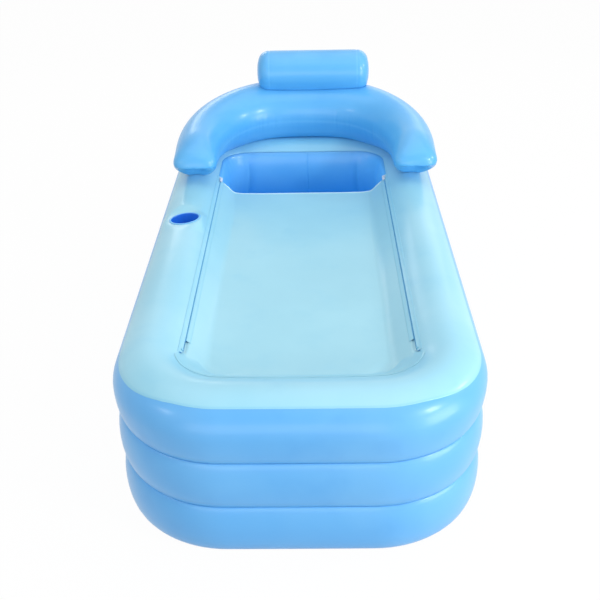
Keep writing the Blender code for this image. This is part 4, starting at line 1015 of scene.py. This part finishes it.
points, faces, profile, sealed = cover()
shaped = cover_shape(points, profile)
mesh = bpy.data.meshes.new("cover_sheet")
mesh.from_pydata(shaped.tolist(), [], faces)
mesh.validate()
if sum(p.normal.z for p in mesh.polygons) < 0:
    mesh.flip_normals()
hem_line = near(points[:, 1], ZIP_HEAD_Y - 0.0155, 0.0014)
store(mesh, "weld", np.clip(np.maximum(hem_line, sealed), 0, 1))
store(mesh, "pleat_shade", np.zeros(len(points)))
uv = np.array([shaped[loop.vertex_index][:2] for loop in mesh.loops])
mesh.uv_layers.new(name="film").data.foreach_set("uv", uv.ravel())
mesh.shade_smooth()
cover_piece = placed("cover_sheet", mesh)
settle(cover_piece, "SOLIDIFY", thickness=COVER_FILM, offset=-1)
dress(cover_piece, COVER_FILM_FINISH, None, "film_aqua", "cover_flap", "cover_foot_end")
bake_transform(cover_piece)

# %% [markdown]
# The hem is a strip of the same film turned under the cover's free edge and welded, so the
# edge is a thin round bead that catches the light; the bead's colour is painted near white, a
# painted highlight. It is a thin tube on the sheet's own edge line, with the strip under the
# sheet behind it.

# %% Hem
def edge_line():
    """The cover's free edge from the right zip down, across and up to the left zip."""
    rows = len(profile)
    count = (len(points) - (ACROSS - 1) * (len(SIDE_YS) + ARC_STEPS)) // rows
    down = [k * count for k in range(rows)]
    across = [rows * count + k for k in range(ACROSS - 1)]
    return shaped[down + across + [k + count - 1 for k in reversed(down)]]


def tube(name, line, radius, sides):
    """A round tube on a line that runs mostly across."""
    along = np.gradient(line, axis=0)
    along /= np.linalg.norm(along, axis=1)[:, None]
    side = np.cross(along, (0, 1.0, 0))
    side /= np.linalg.norm(side, axis=1)[:, None]
    other = np.cross(side, along)
    cosine, sine = np.cos(circle(sides))[:, None], np.sin(circle(sides))[:, None]
    rows = line[:, None] + radius * (side[:, None] * cosine + other[:, None] * sine)
    return surface(name, rows[:, ::-1], False, True, caps=True)


line = edge_line()
hem_path = line - np.array([0, 0.0008, 0.0003])
hem = tube("cover_hem_bead", hem_path, 0.0016, 12)
dress(hem, HEM_HIGHLIGHT_FILM, "cover", "film_aqua", "cover_hem")
strip_rows = [line - np.array([0, back, COVER_FILM + 0.0004]) for back in (0.0012, 0.0060, 0.0110, 0.0160)]
strip = surface("cover_hem_strip", np.array(strip_rows), weld=np.array([[0.0], [0.1], [0.2], [1.0]]))
settle(strip, "SOLIDIFY", thickness=0.0005, offset=1)
dress(strip, COVER_FILM_FINISH, "cover", "film_aqua")

# %% [markdown]
# Each zip is two tapes welded on the films, with a row of moulded teeth each. From above
# only the teeth show, as a thin line in a darker blue. The teeth are a row of copies of one
# tooth, so they are made with Geometry Nodes: points along the zip, a tooth on each, and
# the result turned into a plain mesh for the body that it rides on.

# %% Zips
def zip_place(side, along_slope, above, y):
    """A point by the zip: along_slope is up the rim's slope, and above is square to it."""
    run, rise = math.cos(ZIP_TILT), math.sin(ZIP_TILT)
    x = ZIP_X + along_slope * run - above * rise
    return side * x, y + SHIFT, ZIP_Z + along_slope * rise + above * run


def tape(name, side, way, low, high, body, node):
    """A tape from its teeth out, with a rolled edge next to the teeth and a weld along it."""
    section = [(0.0139, -0.0003), (0.0140, 0.0002), (0.0132, 0.0004), (0.0090, 0.0004), (0.0052, 0.0005),
               (0.0036, 0.0008), (0.0026, 0.0009), (0.0012, 0.0005), (0.0009, -0.0003)]
    ys = np.linspace(low, high, 120)
    rows = np.array([[zip_place(side, way * a, b, y) for y in ys] for a, b in section])
    if side * way > 0:
        rows = rows[:, ::-1]
    weld = np.array([0, 0.2, 0.9, 0.35, 0.2, 0.1, 0, 0, 0])[:, None]
    piece = surface(name, rows, weld=weld)
    return dress(piece, PANEL_FILM if way > 0 else COVER_FILM_FINISH, body, "zip_blue", node)


def tooth_object():
    """One moulded tooth: a block with a narrower, rounded head, about 2.5 mm across."""
    shape = bmesh.new()
    bmesh.ops.create_cube(shape, size=1)
    bmesh.ops.scale(shape, vec=(0.0030, 0.0016, 0.0024), verts=shape.verts)
    for vertex in shape.verts:
        if vertex.co.x < 0:
            vertex.co.y *= 0.72
            vertex.co.z *= 0.80
    bmesh.ops.bevel(shape, geom=shape.edges, offset=0.0003, segments=1, affect="EDGES")
    mesh = bpy.data.meshes.new("tooth")
    shape.to_mesh(mesh)
    shape.free()
    mesh.shade_smooth()
    return placed("tooth", mesh)


def teeth_tree():
    """Points along Y, a tooth on each, and one finish."""
    tree = bpy.data.node_groups.new("zip_teeth", "GeometryNodeTree")
    new_socket = tree.interface.new_socket
    new_socket("Geometry", in_out="OUTPUT", socket_type="NodeSocketGeometry")
    for title, kind in (("Tooth", "Object"), ("Count", "Int"), ("Start", "Vector"), ("Pitch", "Vector"),
                        ("Turn", "Vector"), ("Finish", "Material")):
        new_socket(title, in_out="INPUT", socket_type="NodeSocket" + kind)
    kinds = ("NodeGroupInput", "GeometryNodeMeshLine", "GeometryNodeObjectInfo", "FunctionNodeRandomValue",
             "GeometryNodeInstanceOnPoints", "GeometryNodeRealizeInstances", "GeometryNodeSetMaterial",
             "NodeGroupOutput")
    given, line, fetch, jitter, copies, real, paint, done = (tree.nodes.new(kind) for kind in kinds)
    line.mode, jitter.data_type = "OFFSET", "FLOAT_VECTOR"
    jitter.inputs[0].default_value = (0.97,) * 3
    jitter.inputs[1].default_value = (1.03,) * 3
    jitter.inputs["Seed"].default_value = 5
    for source, output, goal, socket in (
        (given, "Count", line, "Count"),
        (given, "Start", line, "Start Location"),
        (given, "Pitch", line, "Offset"),
        (given, "Tooth", fetch, "Object"),
        (line, "Mesh", copies, "Points"),
        (fetch, "Geometry", copies, "Instance"),
        (given, "Turn", copies, "Rotation"),
        (jitter, 0, copies, "Scale"),
        (copies, "Instances", real, "Geometry"),
        (real, "Geometry", paint, "Geometry"),
        (given, "Finish", paint, "Material"),
        (paint, "Geometry", done, "Geometry"),
    ):
        tree.links.new(source.outputs[output], goal.inputs[socket])
    return tree


TEETH = teeth_tree()
TOOTH = tooth_object()


TOOTH_PITCH, TOOTH_LEAD = 0.0044, 0.0012


def teeth(name, side, way, low, high, body):
    """A row of teeth on one tape, half a pitch off the other tape's row."""
    count = int((high - low) / TOOTH_PITCH)
    first = low + (TOOTH_PITCH / 2 if way > 0 else 0) + TOOTH_PITCH / 4
    holder = placed(name, bpy.data.meshes.new(name))
    step = holder.modifiers.new("teeth", "NODES")
    step.node_group = TEETH
    wanted = {
        "Tooth": TOOTH, "Count": count, "Start": zip_place(side, way * TOOTH_LEAD, 0, first),
        "Pitch": (0, TOOTH_PITCH, 0), "Turn": (0, -side * ZIP_TILT, 0 if side * way > 0 else math.pi),
        "Finish": TEETH_BLUE,
    }
    for item in TEETH.interface.items_tree:
        if item.in_out == "INPUT" and item.name in wanted:
            step[item.identifier] = wanted[item.name]
    holder.update_tag()
    settle(holder)
    return dress(holder, TEETH_BLUE, body, "zip_blue")


RIM_FOOT, RIM_HEAD, TAPE_OVERRUN = ZIP_FOLD_Y - ZIP_FOOT_RUNOUT, ZIP_HEAD_Y + ZIP_HEAD_RUNOUT, 0.006
COVER_FOOT = ZIP_FOLD_Y + FOLD_TAPE_LEAD
for side, hand in ((-1, "left"), (1, "right")):
    tape(f"zip_{hand}_rim_band", side, 1, RIM_FOOT - TAPE_OVERRUN, RIM_HEAD, "tub", f"zip_{hand}_rim_tape")
    tape(f"zip_{hand}_cover_band", side, -1, COVER_FOOT, ZIP_HEAD_Y, "cover", f"zip_{hand}_cover_tape")
    teeth(f"zip_{hand}_rim_teeth", side, 1, RIM_FOOT, RIM_HEAD, "tub")
    teeth(f"zip_{hand}_cover_teeth", side, -1, COVER_FOOT, ZIP_HEAD_Y, "cover")
bpy.data.objects.remove(TOOTH, do_unlink=True)

# %% [markdown]
# The zip sliders, pulls and stops, the valves and the drain are small hard or milky
# mouldings whose CAD shapes are right. They keep their nodes, with moulded edges rounded by
# a bevel and a finish with a fine grain.

# %% Mouldings
def mould(node, material, edge):
    """Rounds a node's edges a little and gives it its finish."""
    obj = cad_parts[node]
    soften = obj.modifiers.new("edge", "BEVEL")
    soften.width, soften.segments, soften.limit_method = edge, 2, "ANGLE"
    soften.angle_limit = math.radians(40)
    for slot in obj.material_slots:
        slot.material = material


for hand in ("left", "right"):
    for kind, material in (("slider", SLIDER_PLASTIC), ("pull", SLIDER_PLASTIC), ("stop", STOP_AQUA)):
        mould(f"zip_{hand}_{kind}", material, 0.0002)
for chamber in ("lower_ring", "middle_ring", "upper_ring", "floor_cushion", "backrest_tube", "head_pillow"):
    mould(f"{chamber}_valve", VALVE_MILK, 0.0002)
    mould(f"{chamber}_valve_plug", VALVE_MILK, 0.0002)
for node in ("drain_pipe", "drain_inner_flange", "drain_cap", "drain_stopper"):
    mould(node, VALVE_MILK, 0.0003)
print("mouldings:", sum(bool(obj.modifiers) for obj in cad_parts.values()), "nodes kept")

# %% [markdown]
# The floor is an air cushion with five long channels, drawn down between them by welds, and
# lower at its ends. Under the wall lies a plain ground sheet of heavier film. Both are
# hidden by the cover in most views, and show when it is folded back.

# %% Floor
CHANNELS = 5


def floor_cushion():
    """Height field over the basin's plan: rows from the foot to the head, columns across."""
    inset = SIDE_RIM + INNER_BULGE + 0.008
    loop = OUT + (OPEN - OUT) * inset / SIDE_RIM
    after = np.roll(loop, -1, 0)
    low_x, high_x = np.minimum(loop[:, 0], after[:, 0]), np.maximum(loop[:, 0], after[:, 0])
    columns, rows = 91, 60
    across = np.linspace(-1, 1, columns)
    xs = across * loop[:, 0].max() * 0.9995
    ends = []
    for x in xs:
        hit = (low_x <= x) & (x <= high_x) & (low_x != high_x)
        a, b = loop[hit], after[hit]
        ys = a[:, 1] + (b[:, 1] - a[:, 1]) * (x - a[:, 0]) / (b[:, 0] - a[:, 0])
        ends.append((ys.min(), ys.max()))
    ends = np.array(ends)
    v = (1 - np.cos(np.pi * np.linspace(0, 1, rows))) / 2
    channel = (across + 1) / 2 * CHANNELS
    part = channel - np.floor(np.clip(channel, 0, CHANNELS - 1e-4))
    swell = 0.020 + 0.026 * np.sin(np.pi * part) ** 0.8
    swell = np.minimum(swell, 0.012 + 0.16 * (1 - np.abs(across)) ** 0.5)
    fade = np.sqrt(1 - (1 - ramp(np.minimum(v, 1 - v), 0, 0.06)) ** 2)[:, None]
    ripple = 0.0008 * np.sin(v[:, None] * 40 + across * 7) * np.sin(np.pi * part)
    y = ends[:, 0] + (ends[:, 1] - ends[:, 0]) * v[:, None] + SHIFT
    z = LOWER_BASE + 0.006 + (swell - 0.006) * fade + ripple * fade
    top = np.stack([np.broadcast_to(xs, (rows, columns)), y, z], -1)
    bottom = top[::-1].copy()
    bottom[..., 2] = LOWER_BASE
    seams = np.broadcast_to(near(part, 0, 0.03) + near(part, 1, 0.03), (rows, columns))
    weld = np.vstack([seams, np.zeros((rows, columns))])
    return surface("floor_film", np.concatenate([top, bottom]), True, False, weld)


cushion = dress(floor_cushion(), FLOOR_FILM, "tub", "film_floor", "floor_cushion")
edge_inset = OUTER_BULGE + np.array([[0.002], [0.0], [0.0], [0.002]])
edge_z = np.array([[0.0], [0.0002], [0.0006], [GROUND_FILM]])
ground = surface("ground_film", swept(edge_inset, edge_z, 0.0), False, True, weld=0.6, caps=True)
dress(ground, RING_FILM, "tub", "film_blue", "ground_sheet")

# %% [markdown]
# The photograph is a studio picture: a white ground with hardly a shadow, a broad soft light
# from above and ahead, and a stronger one from the right. The floor keeps the shadow.

# %% Studio
def area_light(name, place, target, size, power):
    """A plain white panel of light at a place, turned to a target."""
    lamp = bpy.data.lights.new(name, "AREA")
    lamp.shape, lamp.energy = "RECTANGLE", power
    lamp.size, lamp.size_y = size
    obj = placed(name, lamp)
    obj.location = place
    obj.rotation_euler = (Vector(target) - Vector(place)).to_track_quat("-Z", "Y").to_euler()


FLOOR_REACH, FLOOR_Z, FLOOR_GREY, SEEN_WHITE, SEEN_GLOW = 30.0, -0.0006, 0.50, 0.96, 0.965


def floor_stage():
    """A floor that is grey to the object's light and nearly white to the eye, with the shadow kept."""
    mesh = bpy.data.meshes.new("studio_floor")
    corners = [(x * FLOOR_REACH, y * FLOOR_REACH, FLOOR_Z) for x, y in ((-1, -1), (1, -1), (1, 1), (-1, 1))]
    mesh.from_pydata(corners, [], [(0, 1, 2, 3)])
    obj = placed("studio_floor", mesh)
    g = Graph("studio_floor")
    glow = g.node("ShaderNodeEmission", None, {"Color": (1, 1, 1, 1), "Strength": 1.0})
    ray = g.node("ShaderNodeLightPath")
    tone = g.mix((*(FLOOR_GREY,) * 3, 1), (*(SEEN_WHITE,) * 3, 1), g.value(ray, "Is Camera Ray"))
    g.finish(Base_Color=tone, Roughness=0.9, Specular_IOR_Level=0.1)
    seen = g.math("MAXIMUM", g.value(ray, "Is Camera Ray"), g.value(ray, "Is Glossy Ray"))
    seen = g.math("MAXIMUM", seen, g.value(ray, "Is Transmission Ray"))
    blend_in = g.node("ShaderNodeMixShader", None, {0: seen * SEEN_GLOW})
    g.tree.links.new(g.shader.outputs[0], blend_in.inputs[1])
    g.tree.links.new(glow.outputs[0], blend_in.inputs[2])
    g.tree.links.new(blend_in.outputs[0], g.tree.nodes["Material Output"].inputs["Surface"])
    mesh.materials.append(g.material)


floor_stage()
for lamp_row in (
    ("top_light", (0.3, 0.45, 3.4), (0, 0.2, 0.2), (3.6, 3.6), 33.5),
    ("glint_right", (2.81, -2.18, 2.35), (0.27, -0.82, 0.36), (0.7, 0.5), 38),
    ("glint_left", (-2.90, -2.10, 2.28), (-0.27, -0.82, 0.36), (0.6, 0.5), 10),
    ("glint_back", (2.93, -0.04, 1.94), (-0.19, 0.59, 0.50), (0.5, 0.4), 16),
    ("side_right", (2.5, -1.9, 0.62), (0.3, -0.75, 0.25), (1.5, 1.2), 31),
    ("back_right", (1.20, 3.0, 1.50), (0.1, 0, 0.35), (1.3, 0.7), 3),
    ("back_left", (-0.90, 3.0, 1.50), (0.1, 0, 0.35), (0.8, 0.6), 4),
    ("front_fill", (-0.7, -4.2, 1.0), (0, 0, 0.25), (3.4, 1.8), 32),
):
    area_light(*lamp_row)
print("lamps:", len(bpy.data.lights))

# %% [markdown]
# The world is white where it is seen, reflected or seen through, so that the ground has no
# horizon, and dimmer as a light, so that pale film keeps its colour.

# %% World
WORLD_LEVEL = 0.55
world = bpy.data.worlds.new("studio")
bpy.context.scene.world = world
world.use_nodes = True
sky = world.node_tree.nodes
sky["Background"].inputs["Color"].default_value = (1, 1, 1, 1)
ray = sky.new("ShaderNodeLightPath")
either, any_of_three, level = (sky.new("ShaderNodeMath") for _ in range(3))
either.operation = any_of_three.operation = "MAXIMUM"
level.operation = "MULTIPLY_ADD"
level.inputs[1].default_value, level.inputs[2].default_value = 1 - WORLD_LEVEL, WORLD_LEVEL
join = world.node_tree.links.new
join(ray.outputs["Is Camera Ray"], either.inputs[0])
join(ray.outputs["Is Glossy Ray"], either.inputs[1])
join(either.outputs[0], any_of_three.inputs[0])
join(ray.outputs["Is Transmission Ray"], any_of_three.inputs[1])
join(any_of_three.outputs[0], level.inputs[0])
join(level.outputs[0], sky["Background"].inputs["Strength"])
bpy.context.scene.view_settings.view_transform = "Standard"
print("world level:", WORLD_LEVEL)

# %% [markdown]
# The camera has the place and the lens that were fitted to the rim, the rings and the
# backrest's tips, over the foot end and a little to the right.

# %% Camera
FOCAL_PIXELS, PHOTO_PIXELS, SENSOR = 877.6, 600, 36
PITCH, YAW, ROLL = (math.radians(angle) for angle in (30.73, -1.057, -1.113))
forward = Vector((math.sin(YAW) * math.cos(PITCH), math.cos(YAW) * math.cos(PITCH), -math.sin(PITCH)))
right = Vector((math.cos(YAW), -math.sin(YAW), 0))
up = right.cross(forward)
right, up = right * math.cos(ROLL) + up * math.sin(ROLL), up * math.cos(ROLL) - right * math.sin(ROLL)
camera_data = bpy.data.cameras.new("camera")
camera_data.sensor_width = SENSOR
camera_data.lens = FOCAL_PIXELS * SENSOR / PHOTO_PIXELS
camera = placed("camera", camera_data)
camera.matrix_world = Matrix((right, up, -forward)).transposed().to_4x4()
camera.location = (0.0334, -2.1706 + SHIFT, 1.4623)
bpy.context.scene.camera = camera
print("lens:", round(camera_data.lens, 2), "mm")
